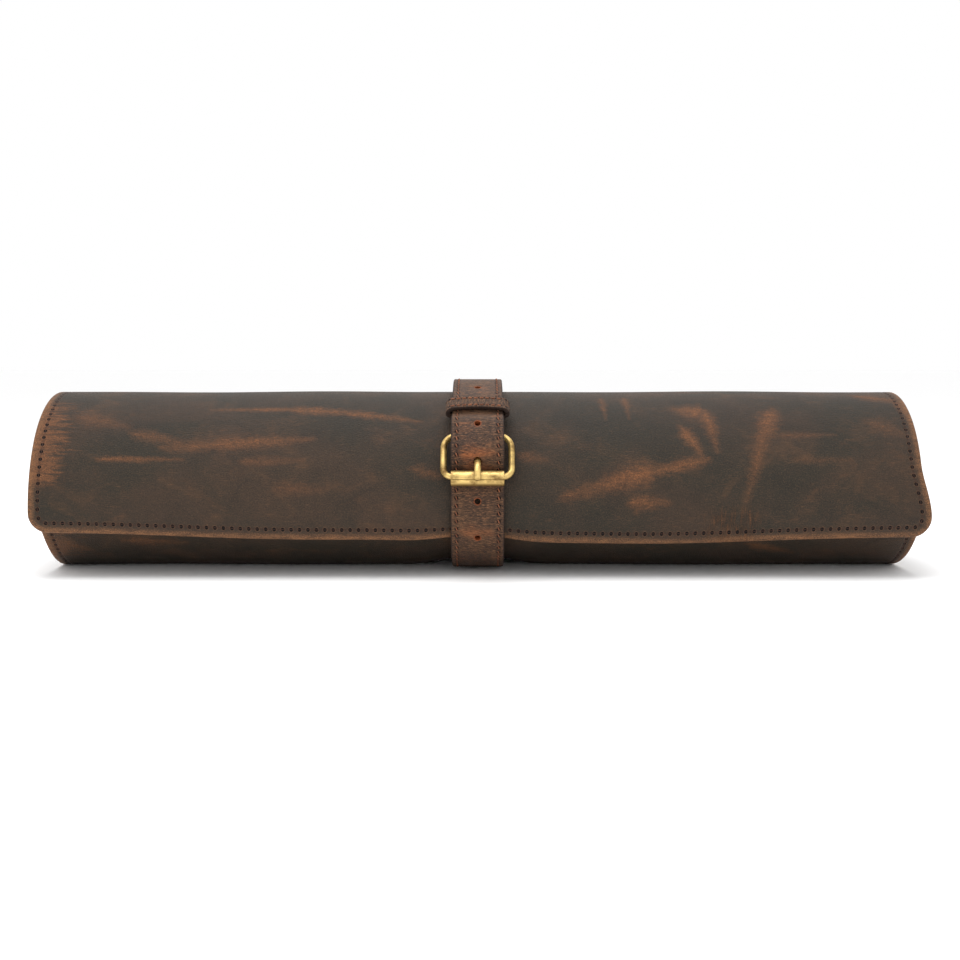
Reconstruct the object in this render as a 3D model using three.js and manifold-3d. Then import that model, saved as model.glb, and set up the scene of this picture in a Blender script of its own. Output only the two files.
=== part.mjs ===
// A leather knife roll, rolled up and buckled. Millimetres, +Z up, the roll lies along X, its front is at -Y.
// One square panel of leather with a suede lining is wound about one and a third turns round an open core.
import * as THREE from "three";
import { mergeVertices } from "three/addons/utils/BufferGeometryUtils.js";
import Module from "manifold-3d";

const wasm = await Module();
wasm.setup();

// Panel
const PANEL_LENGTH = 450; // along the roll
const PANEL_WIDTH = 450; // along the winding
const LEATHER = 2;
const HEM_WIDTH = 7; // leather turned over at all four edges
const HEM_THICKNESS = 4.2;
const HEM_STEP = 0.6; // the slope where the turned leather ends
const EDGE_ROUND = 1; // the fold at the edge
const CORNER_RADIUS = 9.5;
const GAP = 0.3; // between two pieces that touch

// Roll section
const HALF_DEPTH = 58;
const FRONT_HEIGHT = 36.5; // the height at which the roll is deepest
const TOP_RISE = 55.6; // from there to the top
const BASE_SINK = 1; // how far the soft base would sink into the floor
const FRONT_SQUARENESS = 2.05; // of the base in front: 2 is an ellipse
const BACK_SQUARENESS = 2.4;
const BASE_BLEND = 0.5; // how softly the base turns flat
const FLAP_ANGLE = -18.6; // where the outer edge of the panel ends, from the front upwards
const TUCK_FROM = 262; // where the panel starts to pass under the outer edge
const TUCK_TO = 330;

// How far the panel's two ends draw in, by arc length from its outer edge: it is not wound quite straight.
const LEFT_SETBACK = [
  { at: 200, value: 0 },
  { at: 315, value: 1.8 },
];
const RIGHT_SETBACK = [
  { at: 8, value: 0 },
  { at: 35, value: 4.3 },
  { at: 200, value: 4.6 },
  { at: 315, value: 1.8 },
];

const FLAP_FLARE = 3; // the outer edge stands off the roll
const FLARE_REACH = 45;
const FLAP_SAG = 6.7; // the outer edge hangs lower in the middle
const SAG_REACH = 70;

// Lining and what is sewn on it
const LINING = 1.2;
const POCKET_SUEDE = 1.3;
const TRIM = 1.4; // leather strips
const POCKET_MOUTH = -16; // X of the knife pockets' mouth
const POCKET_END = 362; // how far round the panel the pockets reach
const ROW_PITCH = POCKET_END / 40; // between two sections of a sheet
const HANDLE_FLAP_EDGE = -24; // X of the free edge of the flap over the handles
const HEM_STRIP_WIDTH = 12;
const DIVIDER_WIDTH = 14;
const DIVIDER_AT = 372;
const ZIP_AT = 421;
const ZIP_WINDOW = 11;
const ZIP_LENGTH = 345;
const ZIP_MIDDLE = -1;
const ZIP_TAPE = 0.8;
const ZIP_CHAIN_WIDTH = 6;
const ZIP_CHAIN_HEIGHT = 1.1;
const SLIDER_AT = 159;
const SLIDER_LENGTH = 11;
const SLIDER_WIDTH = 9;
const SLIDER_PLATE = 1; // its thickness over the chain
const BRIDGE_WIDTH = 3.2; // of the slider's eye for the ring
const PULL_RING_WIDTH = 13;
const PULL_RING_LENGTH = 12;
const PULL_WIRE = 0.9; // radius
const PULL_LEATHER = 1.2;
const PULL_TAB_LENGTH = 48;
const PULL_TAB_WIDTH = 8.8;
const PULL_TAB_SLANT = 7;

// Strap and buckle
const STRAP_AT = -1.2; // X of the strap's middle
const STRAP_WIDTH = 26.8;
const TIP_WIDTH = 25.6;
const TIP_STRAP = 3.1; // thickness
const BUCKLE_STRAP = 3.1;
const SKIVED = 1.8; // its thickness where it is folded round the bar and sewn to itself
const FOLD_WIDTH = 19;
const HOLE_SPACING = 18.8;
const HOLE_RADIUS = 1.6;
const HOLES_BELOW = 2;
const HOLES_ABOVE = 3;
const PRONG_PULL = 3; // how far the prong pulls its hole up
const PRONG_HOLE_ANGLE = 21.5;
const KEEPER_ANGLE = 51;
const KEEPER_WIDTH = 8.5;
const KEEPER_TOP = 2.2;
const KEEPER_BASE = 1.3;
const KEEPER_CLEARANCE = 0.6;
const BAR_ANGLE = 35.2;
const ROLLER_ANGLE = 13.3;
const BUCKLE_WIDTH = 37;
const WIRE = 1.6; // radius of the frame's wire
const BAR_CORNER = 7;
const ROLLER_CORNER = 4.5;
const ROLLER_RADIUS = 3.8;
const ROLLER_WALL = 0.8;
const ROLLER_LENGTH = 27;
const PRONG_ROOT = 1.15; // radius where it is bent round the bar
const PRONG = 1.4;

const DEG = Math.PI / 180;
const STRAP_DENT = TIP_STRAP + GAP; // the soft base makes room for the strap under it
const DENT_FLAT = STRAP_WIDTH / 2 + 1;
const DENT_REACH = STRAP_WIDTH / 2 + 27;
const DENT_HEIGHT = 0.4 * FRONT_HEIGHT; // above this the strap lifts nothing
const LINING_TOP = LEATHER + GAP + LINING; // depths are measured inwards from the leather's outer face
const POCKET_TOP = LINING_TOP + GAP + POCKET_SUEDE;
const TURN_PITCH = POCKET_TOP + GAP + TRIM + 3 * GAP; // from one turn to the next
const BAR_HEIGHT = WIRE + GAP + 2 * PRONG_ROOT + 2 * GAP; // of the bar over the leather
const FOLD_RADIUS = WIRE + GAP + SKIVED;
const ROLLER_HEIGHT = GAP + TIP_STRAP + GAP + ROLLER_RADIUS;
const OVER_KEEPER = KEEPER_BASE + 2 * GAP + KEEPER_CLEARANCE / 2;

const clamp01 = (t) => Math.min(1, Math.max(0, t));
const smooth = (t) => clamp01(t) ** 2 * (3 - 2 * clamp01(t));
const ease = (from, to, t) => from + (to - from) * smooth(t);
const softMax = (a, b) => Math.max(a, b) + Math.max(0, BASE_BLEND - Math.abs(a - b)) ** 2 / (4 * BASE_BLEND);

// Reads a table of { at, value } rows, easing from each row to the next.
function readTable(table, at) {
  const next = table.findIndex((row) => row.at >= at);
  if (next === 0) return table[0].value;
  if (next < 0) return table[table.length - 1].value;
  const [a, b] = [table[next - 1], table[next]];
  return ease(a.value, b.value, (at - a.at) / (b.at - a.at));
}

// The roll's outline in YZ at an angle from the front over the top: half an ellipse on a squarer base.
function outline(degrees) {
  const c = Math.cos(degrees * DEG);
  const s = Math.sin(degrees * DEG);
  if (s >= 0) return new THREE.Vector2(-HALF_DEPTH * c, FRONT_HEIGHT + TOP_RISE * s);
  const power = 2 / (c > 0 ? FRONT_SQUARENESS : BACK_SQUARENESS);
  return new THREE.Vector2(
    -HALF_DEPTH * Math.sign(c) * Math.abs(c) ** power,
    FRONT_HEIGHT - (FRONT_HEIGHT + BASE_SINK) * Math.abs(s) ** power,
  );
}

// Follows the outline, moved inwards by inset(degrees), and gives each point its outward normal and arc length.
function tracePath(fromDegrees, toDegrees, inset) {
  const STEP = 0.5;
  const steps = Math.round((toDegrees - fromDegrees) / STEP);
  const raw = [];
  for (let i = -1; i <= steps + 1; i++) raw.push(fromDegrees + i * STEP);
  const normalAt = (points, i) => {
    const along = points[i + 1].clone().sub(points[i - 1]).normalize();
    return new THREE.Vector2(-along.y, along.x);
  };
  const on = raw.map(outline);
  const moved = raw.map((degrees, i) => {
    if (i === 0 || i === raw.length - 1) return on[i];
    return on[i].clone().addScaledVector(normalAt(on, i), -inset(degrees));
  });
  const path = [];
  for (let i = 2; i < raw.length - 2; i++) {
    const normal = normalAt(moved, i);
    const last = path[path.length - 1];
    const length = last ? last.length + last.point.distanceTo(moved[i]) : 0;
    path.push({ degrees: raw[i], point: moved[i], normal, length });
  }
  return path;
}

function pathAt(path, key, value) {
  let i = path.findIndex((p) => p[key] >= value);
  if (i < 0) i = path.length - 1;
  i = Math.max(1, i);
  const [a, b] = [path[i - 1], path[i]];
  const t = (value - a[key]) / (b[key] - a[key]);
  return {
    point: a.point.clone().lerp(b.point, t),
    normal: a.normal.clone().lerp(b.normal, t).normalize(),
    degrees: a.degrees + (b.degrees - a.degrees) * t,
    length: a.length + (b.length - a.length) * t,
  };
}

const windingInset = (degrees) => TURN_PITCH * smooth((degrees - TUCK_FROM) / (TUCK_TO - TUCK_FROM));
const WINDING = tracePath(FLAP_ANGLE - 10, 520, windingInset);
const FLAP_START = pathAt(WINDING, "degrees", FLAP_ANGLE).length;
const ROUND = tracePath(-60, 500, () => 0); // the strap's way round, which never tucks in

// Places along the roll where all sheets bend: close together beside the strap, where the base is dented.
const HALF_COLUMNS = [DENT_FLAT, STRAP_AT - HANDLE_FLAP_EDGE, DENT_REACH, 0.28 * PANEL_LENGTH];
const COLUMNS = [...HALF_COLUMNS.map((x) => STRAP_AT - x).reverse(), ...HALF_COLUMNS.map((x) => STRAP_AT + x)];
const dentAt = (x) => STRAP_DENT * (1 - clamp01((Math.abs(x - STRAP_AT) - DENT_FLAT) / (DENT_REACH - DENT_FLAT))) ** 2;

// A point at a depth inside the leather's outer face, lifted where the base lies on the floor or on the strap.
function place(on, x, depth, flare = 0) {
  const dent = dentAt(x);
  const y = on.point.x - on.normal.x * (depth - flare);
  const z = on.point.y - on.normal.y * (depth - flare);
  const lifted = z + dent * clamp01(1 - on.point.y / DENT_HEIGHT);
  return new THREE.Vector3(x, y, softMax(lifted - depth, dent) + depth);
}

// How much lower the panel's outer edge hangs, along the roll as shares of half its length.
const EDGE_SAG = [
  { at: -1, value: 0 },
  { at: -0.3, value: 0.65 },
  { at: 0.36, value: 1 },
  { at: 0.98, value: 0.38 },
];

// The panel's point at an arc length from its outer edge and a depth inside its outer face, at one of the columns.
function atColumn(length, x, depth) {
  const sag = FLAP_SAG * readTable(EDGE_SAG, (2 * x) / PANEL_LENGTH) * (1 - clamp01(length / SAG_REACH)) ** 2;
  const free = 1 - dentAt(x) / STRAP_DENT;
  const flare = FLAP_FLARE * free * (1 - clamp01(length / FLARE_REACH)) ** 2;
  return place(pathAt(WINDING, "length", FLAP_START + length - sag), x, depth, flare);
}

// The same anywhere along the roll: straight from column to column.
function onPanel(length, x, depth) {
  const knots = [-PANEL_LENGTH / 2, ...COLUMNS, PANEL_LENGTH / 2];
  const next = Math.max(1, knots.findIndex((knot) => knot >= x));
  const share = (x - knots[next - 1]) / (knots[next] - knots[next - 1]);
  return atColumn(length, knots[next - 1], depth).lerp(atColumn(length, knots[next], depth), share).setX(x);
}

// X of the panel's two ends at an arc length, drawn in on the inner turn and at the outer edge's rounded corners.
function endsAt(length) {
  const rounded = CORNER_RADIUS - Math.sqrt(CORNER_RADIUS ** 2 - Math.max(0, CORNER_RADIUS - length) ** 2);
  const half = PANEL_LENGTH / 2 - rounded;
  return [readTable(LEFT_SETBACK, length) - half, half - readTable(RIGHT_SETBACK, length)];
}

// Joins sections of equally many points to one closed skin. Each section's second half lies opposite its first,
// and both are split along the same diagonals, so that sheets keep their thickness and their gaps.
function loft(sections, closed = false) {
  const count = sections[0].length;
  const positions = sections.flat().flatMap((p) => [p.x, p.y, p.z]);
  const faces = [];
  const quad = (a, b, c, d) => faces.push(a, b, c, a, c, d);
  const rows = closed ? sections.length : sections.length - 1;
  for (let i = 0; i < rows; i++) {
    const here = i * count;
    const next = ((i + 1) % sections.length) * count;
    for (let j = 0; j < count; j++) {
      const k = (j + 1) % count;
      if (j < count / 2) quad(here + j, here + k, next + k, next + j);
      else quad(here + k, next + k, next + j, here + j);
    }
  }
  const end = (sections.length - 1) * count;
  for (let j = 0; !closed && j < count / 2 - 1; j++) {
    quad(j, count - 1 - j, count - 2 - j, j + 1);
    quad(end + j, end + j + 1, end + count - 2 - j, end + count - 1 - j);
  }
  const geometry = new THREE.BufferGeometry();
  geometry.setAttribute("position", new THREE.Float32BufferAttribute(positions, 3));
  geometry.setIndex(faces);
  return facingOut(geometry);
}

function facingOut(geometry) {
  const points = geometry.getAttribute("position");
  const index = geometry.index.array;
  const [a, b, c] = [new THREE.Vector3(), new THREE.Vector3(), new THREE.Vector3()];
  let volume = 0;
  for (let i = 0; i < index.length; i += 3) {
    [a, b, c].forEach((v, k) => v.fromBufferAttribute(points, index[i + k]));
    volume += a.dot(b.cross(c));
  }
  if (volume < 0) for (let i = 0; i < index.length; i += 3) [index[i], index[i + 1]] = [index[i + 1], index[i]];
  return geometry;
}

function solidOf(geometry) {
  const bare = geometry.clone();
  bare.deleteAttribute("normal");
  bare.deleteAttribute("uv");
  const merged = mergeVertices(bare, 1e-4);
  const vertProperties = new Float32Array(merged.getAttribute("position").array);
  return new wasm.Manifold(new wasm.Mesh({ numProp: 3, vertProperties, triVerts: new Uint32Array(merged.index.array) }));
}

function geometryOf(solid) {
  const mesh = solid.getMesh();
  const geometry = new THREE.BufferGeometry();
  geometry.setAttribute("position", new THREE.BufferAttribute(new Float32Array(mesh.vertProperties), 3));
  geometry.setIndex(new THREE.BufferAttribute(new Uint32Array(mesh.triVerts), 1));
  return geometry;
}

const cut = (geometry, ...tools) => geometryOf(tools.reduce((s, tool) => s.subtract(solidOf(tool)), solidOf(geometry)));

// Arc lengths of the sections between two ends, with both ends, on stations that all sheets share.
function rowsBetween(from, to) {
  const rows = [from];
  for (let k = Math.ceil(from / ROW_PITCH); k * ROW_PITCH < to; k++) {
    const station = k * ROW_PITCH;
    if (station > from + 1.5 && station < to - 1.5) rows.push(station);
  }
  return [...rows, to];
}

const columnsBetween = (from, to) => COLUMNS.filter((x) => x > from + 1 && x < to - 1);

// A sheet on the panel between two arc lengths. edges(length) gives its two ends in X, depths(length) its two faces.
function wrappedSheet(from, to, edges, depths) {
  const inner = columnsBetween(...edges((from + to) / 2));
  return loft(
    rowsBetween(from, to).map((length) => {
      const [left, right] = edges(length);
      const [near, far] = depths(length);
      const xs = [left, ...inner, right];
      return [...xs.map((x) => onPanel(length, x, near)), ...xs.reverse().map((x) => onPanel(length, x, far))];
    }),
  );
}

function leather(colour) {
  return new THREE.MeshStandardMaterial({ color: colour, roughness: 0.55, metalness: 0 });
}

const MATERIALS = {
  leather: leather(0x493a30),
  strap: leather(0x5a3f30),
  suede: new THREE.MeshStandardMaterial({ color: 0x3f2523, roughness: 0.95, metalness: 0 }),
  brass: new THREE.MeshStandardMaterial({ color: 0xb08d45, roughness: 0.35, metalness: 1 }),
  zip: new THREE.MeshStandardMaterial({ color: 0x26221f, roughness: 0.8, metalness: 0 }),
};

const roll = new THREE.Group();

function addPart(name, geometry, material) {
  const mesh = new THREE.Mesh(geometry, material);
  mesh.name = name;
  roll.add(mesh);
}

const addStrapPart = (name, geometry, material) => addPart(name, geometry.translate(STRAP_AT, 0, 0), material);

// The leather panel, doubled where it is turned over at its edges, with two rounded corners at the outer edge.
function makeShell() {
  const corner = [0, 1, 2, 3].map((k) => CORNER_RADIUS * (1 - Math.cos((k * Math.PI) / 10)));
  const rows = [
    ...corner,
    HEM_WIDTH,
    ...rowsBetween(HEM_WIDTH + HEM_STEP, PANEL_WIDTH - HEM_WIDTH - HEM_STEP),
    PANEL_WIDTH - HEM_WIDTH,
    PANEL_WIDTH - EDGE_ROUND,
    PANEL_WIDTH,
  ];
  const sideInset = [0, EDGE_ROUND, HEM_WIDTH, HEM_WIDTH + HEM_STEP];
  const sections = rows.map((length, row) => {
    const [left, right] = endsAt(length);
    const xs = [
      ...sideInset.map((inset) => left + inset),
      ...COLUMNS,
      ...sideInset.map((inset) => right - inset).reverse(),
    ];
    const edgeRow = row === 0 || row === rows.length - 1;
    const hemRow = length <= HEM_WIDTH || length >= PANEL_WIDTH - HEM_WIDTH;
    const faces = xs.map((x, i) => {
      const fromSide = Math.min(i, xs.length - 1 - i);
      const atEdge = edgeRow || fromSide === 0;
      const thickness = hemRow || fromSide < 3 ? HEM_THICKNESS : LEATHER;
      return atEdge ? [EDGE_ROUND, HEM_THICKNESS - EDGE_ROUND] : [0, thickness];
    });
    const near = xs.map((x, i) => onPanel(length, x, faces[i][0]));
    const far = xs.map((x, i) => onPanel(length, x, faces[i][1]));
    return [...near, ...far.reverse()];
  });
  return loft(sections);
}

const INSIDE_HEM = HEM_WIDTH + HEM_STEP + GAP;
const leftInside = (length) => endsAt(length)[0] + INSIDE_HEM;
const rightInside = (length) => endsAt(length)[1] - INSIDE_HEM;

// The plane that touches the roll's outer face at an arc length: X along the roll, Z inwards.
function planeAt(length) {
  const on = onPanel(length, 0, 0);
  const into = onPanel(length, 0, 1).sub(on).normalize();
  const x = new THREE.Vector3(1, 0, 0);
  return new THREE.Matrix4().makeBasis(x, into.clone().cross(x), into).setPosition(on);
}

// A block in such a plane, from one X to another and from one depth to another.
function blockAt(plane, width, fromX, toX, fromDepth, toDepth) {
  const block = new THREE.BoxGeometry(toX - fromX, width, toDepth - fromDepth);
  return block.translate((fromX + toX) / 2, 0, (fromDepth + toDepth) / 2).applyMatrix4(plane);
}

const ZIP_PLANE = planeAt(ZIP_AT);
const ZIP_ENDS = [ZIP_MIDDLE - ZIP_LENGTH / 2, ZIP_MIDDLE + ZIP_LENGTH / 2];
const TAPE_SEAT = LEATHER + 2 * GAP;
const CHAIN_SEAT = TAPE_SEAT + ZIP_TAPE + GAP;
const CHAIN_TOP = CHAIN_SEAT + ZIP_CHAIN_HEIGHT;
const RING_DEPTH = CHAIN_TOP + GAP + PULL_LEATHER + GAP + PULL_WIRE; // of the pull ring's middle
const RING_AT = SLIDER_AT - SLIDER_LENGTH * 0.15;
const RING_END = RING_AT - PULL_RING_LENGTH + 2 * PULL_WIRE;

// The suede lining, with a window cut in it for the zip.
function makeLining() {
  const sheet = wrappedSheet(
    INSIDE_HEM,
    PANEL_WIDTH - INSIDE_HEM,
    (length) => [leftInside(length), rightInside(length)],
    () => [LEATHER + GAP, LINING_TOP],
  );
  return cut(sheet, blockAt(ZIP_PLANE, ZIP_WINDOW, ...ZIP_ENDS, 0, 2 * LINING_TOP));
}

// The knife pockets: one sheet of suede over the right half, open at its left edge.
const makePocket = () =>
  wrappedSheet(
    INSIDE_HEM,
    POCKET_END,
    (length) => [POCKET_MOUTH, rightInside(length) - HEM_STRIP_WIDTH / 2],
    () => [LINING_TOP + GAP, POCKET_TOP],
  );

// The flap that covers the knife handles, sewn in at the left end.
const makeHandleFlap = () =>
  wrappedSheet(
    INSIDE_HEM,
    POCKET_END,
    (length) => [leftInside(length), HANDLE_FLAP_EDGE],
    () => [LINING_TOP + GAP, POCKET_TOP],
  );

// A leather strip over the pockets' lower seam, which steps down to the lining past the pockets.
const makeHemStrip = () =>
  wrappedSheet(
    INSIDE_HEM,
    PANEL_WIDTH - INSIDE_HEM,
    (length) => [rightInside(length) - HEM_STRIP_WIDTH, rightInside(length)],
    (length) => {
      const seat = ease(POCKET_TOP + GAP, LINING_TOP + GAP, (length - POCKET_END - 1) / ROW_PITCH);
      return [seat, seat + TRIM];
    },
  );

const DIVIDER_BULGE = DIVIDER_WIDTH ** 2 / (8 * HALF_DEPTH) + GAP; // a flat strip needs this on a curved sheet
const DIVIDER_SEAT = LINING_TOP + GAP + DIVIDER_BULGE;
const makeDivider = () =>
  blockAt(
    planeAt(DIVIDER_AT),
    DIVIDER_WIDTH,
    leftInside(DIVIDER_AT) + GAP,
    rightInside(DIVIDER_AT) - HEM_STRIP_WIDTH - GAP,
    DIVIDER_SEAT,
    DIVIDER_SEAT + TRIM,
  );

const makeZipTape = () =>
  blockAt(
    ZIP_PLANE,
    ZIP_WINDOW - 2 * GAP,
    ZIP_ENDS[0] + GAP,
    ZIP_ENDS[1] - GAP,
    TAPE_SEAT,
    TAPE_SEAT + ZIP_TAPE,
  );

const makeZipChain = () =>
  blockAt(ZIP_PLANE, ZIP_CHAIN_WIDTH, ZIP_ENDS[0] + 1, ZIP_ENDS[1] - 1, CHAIN_SEAT, CHAIN_TOP);

// The slider straddles the chain and carries the ring in an eye on its back.
function makeZipSlider() {
  const half = SLIDER_LENGTH / 2;
  const fromTo = [SLIDER_AT - half, SLIDER_AT + half];
  const body = blockAt(ZIP_PLANE, SLIDER_WIDTH, ...fromTo, CHAIN_SEAT, CHAIN_TOP + GAP + SLIDER_PLATE);
  const eye = blockAt(
    ZIP_PLANE,
    BRIDGE_WIDTH,
    fromTo[0] + 1,
    fromTo[1] - 2,
    CHAIN_TOP + GAP,
    RING_DEPTH + PULL_WIRE + GAP + SLIDER_PLATE,
  );
  const channel = blockAt(ZIP_PLANE, ZIP_CHAIN_WIDTH + 2 * GAP, -PANEL_LENGTH, PANEL_LENGTH, 0, CHAIN_TOP + GAP);
  const ringRoom = PULL_WIRE + GAP;
  const ringHole = blockAt(
    ZIP_PLANE,
    2 * SLIDER_WIDTH,
    RING_AT - ringRoom,
    RING_AT + ringRoom,
    RING_DEPTH - ringRoom,
    RING_DEPTH + ringRoom,
  );
  return geometryOf(solidOf(body).add(solidOf(eye)).subtract(solidOf(channel)).subtract(solidOf(ringHole)));
}

function makePullRing() {
  const halfWidth = PULL_RING_WIDTH / 2 - PULL_WIRE;
  const ring = tube(roundedLoop(halfWidth, 0, RING_END - RING_AT, 1, 1, 2), () => PULL_WIRE, 6, true);
  return ring.translate(RING_AT, 0, RING_DEPTH).applyMatrix4(ZIP_PLANE);
}

// The tab is leather folded round the ring's far side, cut off at a slant.
function makePullTab() {
  const room = PULL_WIRE + GAP;
  const half = room + PULL_LEATHER;
  const side = PULL_TAB_WIDTH / 2;
  const fold = RING_END + half;
  const end = RING_END - PULL_TAB_LENGTH;
  const flat = new THREE.Shape();
  flat.moveTo(fold, -side);
  flat.lineTo(fold, side);
  flat.lineTo(end + PULL_TAB_SLANT, side);
  flat.lineTo(end, -side);
  const tab = new THREE.ExtrudeGeometry(flat, { depth: 2 * half, bevelEnabled: false });
  tab.translate(0, 0, RING_DEPTH - half).applyMatrix4(ZIP_PLANE);
  const eye = blockAt(ZIP_PLANE, 2 * side + 1, RING_END - room, RING_END + room, RING_DEPTH - room, RING_DEPTH + room);
  const taper = blockAt(
    ZIP_PLANE,
    2 * side + 1,
    end - 1,
    RING_END - 2 * half,
    RING_DEPTH - half + 2 * PULL_LEATHER,
    RING_DEPTH + 2 * half,
  );
  return cut(tab, eye, taper);
}

// A rounded rectangle in XY: half its width across Y, from one X to another, with its own corner radius at each end.
function roundedLoop(halfWidth, fromX, toX, fromCorner, toCorner, segments) {
  const side = Math.sign(fromX - toX);
  const corners = [
    { x: fromX - side * fromCorner, y: halfWidth - fromCorner, r: fromCorner, start: 0 },
    { x: toX + side * toCorner, y: halfWidth - toCorner, r: toCorner, start: 90 },
    { x: toX + side * toCorner, y: toCorner - halfWidth, r: toCorner, start: 180 },
    { x: fromX - side * fromCorner, y: fromCorner - halfWidth, r: fromCorner, start: 270 },
  ];
  return corners.flatMap(({ x, y, r, start }) =>
    Array.from({ length: segments + 1 }, (_, k) => {
      const turn = (start + (90 * k) / segments) * DEG;
      return new THREE.Vector3(x + side * r * Math.cos(turn), y + r * Math.sin(turn), 0);
    }),
  );
}

// A round bar along points, with a radius for each, closed to a loop or capped at both ends. The points lie in a plane.
function tube(points, radiusAt, sides, closed = false) {
  const n = points.length;
  const plane = new THREE.Vector3();
  for (let i = 0; i < n; i++) plane.add(points[i].clone().cross(points[(i + 1) % n]));
  if (!closed) {
    plane.set(0, 0, 0);
    for (let i = 1; i < n - 1; i++) {
      plane.add(points[i].clone().sub(points[i - 1]).cross(points[i + 1].clone().sub(points[i])));
    }
  }
  plane.normalize();
  const sections = points.map((p, i) => {
    const before = points[closed ? (i + n - 1) % n : Math.max(0, i - 1)];
    const after = points[closed ? (i + 1) % n : Math.min(n - 1, i + 1)];
    const along = after.clone().sub(before).normalize();
    const across = plane.clone().cross(along).normalize();
    const r = radiusAt(i / (n - 1));
    return Array.from({ length: sides }, (_, k) => {
      const turn = (2 * Math.PI * (k + 0.5)) / sides;
      return p.clone().addScaledVector(plane, r * Math.cos(turn)).addScaledVector(across, r * Math.sin(turn));
    });
  });
  return loft(sections, closed);
}

// A point over the leather's outer face at an angle round the roll, in the plane of the strap.
function overRoll(degrees, height) {
  const p = place(pathAt(ROUND, "degrees", degrees), 0, -height);
  return new THREE.Vector3(0, p.y, p.z);
}

// A flat strap along a middle line in YZ, with its thickness and its two edges in X at each point of the line.
function strapAlong(line, thicknessAt, edgesAt) {
  return loft(
    line.map((p, i) => {
      const along = line[Math.min(line.length - 1, i + 1)].clone().sub(line[Math.max(0, i - 1)]).normalize();
      const half = new THREE.Vector3(0, -along.z, along.y).multiplyScalar(thicknessAt(i) / 2);
      const [left, right] = edgesAt(i);
      const over = p.clone().add(half);
      const under = p.clone().sub(half);
      return [
        new THREE.Vector3(left, over.y, over.z),
        new THREE.Vector3(right, over.y, over.z),
        new THREE.Vector3(right, under.y, under.z),
        new THREE.Vector3(left, under.y, under.z),
      ];
    }),
  );
}

const degreesBetween = (from, to, step) => {
  const count = Math.max(1, Math.round(Math.abs(to - from) / step));
  return Array.from({ length: count + 1 }, (_, k) => from + ((to - from) * k) / count);
};

// Angles from one to a larger one, with both ends, on stations that both straps share.
function strapStations(from, to) {
  const stations = [from];
  for (let a = STRAP_STEP * Math.ceil(from / STRAP_STEP); a < to; a += STRAP_STEP) {
    if (a > from + 1 && a < to - 1) stations.push(a);
  }
  return [...stations, to];
}

const BUCKLE_STRAP_OVER_BAR = BAR_HEIGHT + WIRE + GAP;
const TIP_STRAP_OVER_BAR = BAR_HEIGHT + WIRE + GAP + 2 * PRONG_ROOT + GAP;
const STRAP_JOIN = { tipRoot: 172, buckleEnd: 196, seated: 214 }; // both ends are sewn on the back
const TIP_END = 128; // where the tip of the strap ends on the back
const TIP_BEVEL = 22; // how much longer one side of the tip is
const STRAP_STEP = 4; // degrees

// Thickness of the buckle strap, and the height of its lower face over the leather, by angle.
const BUCKLE_STRAP_THICKNESS = [
  { at: KEEPER_ANGLE + 5, value: SKIVED },
  { at: KEEPER_ANGLE + 20, value: BUCKLE_STRAP },
];
const BUCKLE_STRAP_HEIGHT = [
  { at: BAR_ANGLE + 3, value: BUCKLE_STRAP_OVER_BAR },
  { at: KEEPER_ANGLE - 5, value: OVER_KEEPER },
  { at: KEEPER_ANGLE + 5, value: OVER_KEEPER },
  { at: KEEPER_ANGLE + 20, value: GAP },
];

// Heights of the tip strap's lower face: under the roller, over the bar, through the keeper and over the top.
const TIP_STRAP_HEIGHT = [
  { at: ROLLER_ANGLE + 1.2, value: GAP },
  { at: BAR_ANGLE - 9, value: TIP_STRAP_OVER_BAR },
  { at: BAR_ANGLE + 4, value: TIP_STRAP_OVER_BAR },
  { at: KEEPER_ANGLE - 4.5, value: OVER_KEEPER + SKIVED + GAP },
  { at: KEEPER_ANGLE + 5, value: OVER_KEEPER + SKIVED + GAP },
  { at: KEEPER_ANGLE + 20, value: BUCKLE_STRAP + 2 * GAP },
];

const BAR = overRoll(BAR_ANGLE, BAR_HEIGHT);
const ROLLER = overRoll(ROLLER_ANGLE, ROLLER_HEIGHT);
const OUT_OF_BAR = overRoll(BAR_ANGLE, BAR_HEIGHT + 1).sub(BAR);

// Points on a circle round the buckle's bar, from over it towards the roller and under it.
function roundBar(radius, fromTurn, toTurn, step) {
  return degreesBetween(fromTurn, toTurn, step).map((turn) => {
    const way = OUT_OF_BAR.clone().applyAxisAngle(new THREE.Vector3(1, 0, 0), turn * DEG);
    return BAR.clone().addScaledVector(way, radius);
  });
}

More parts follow.
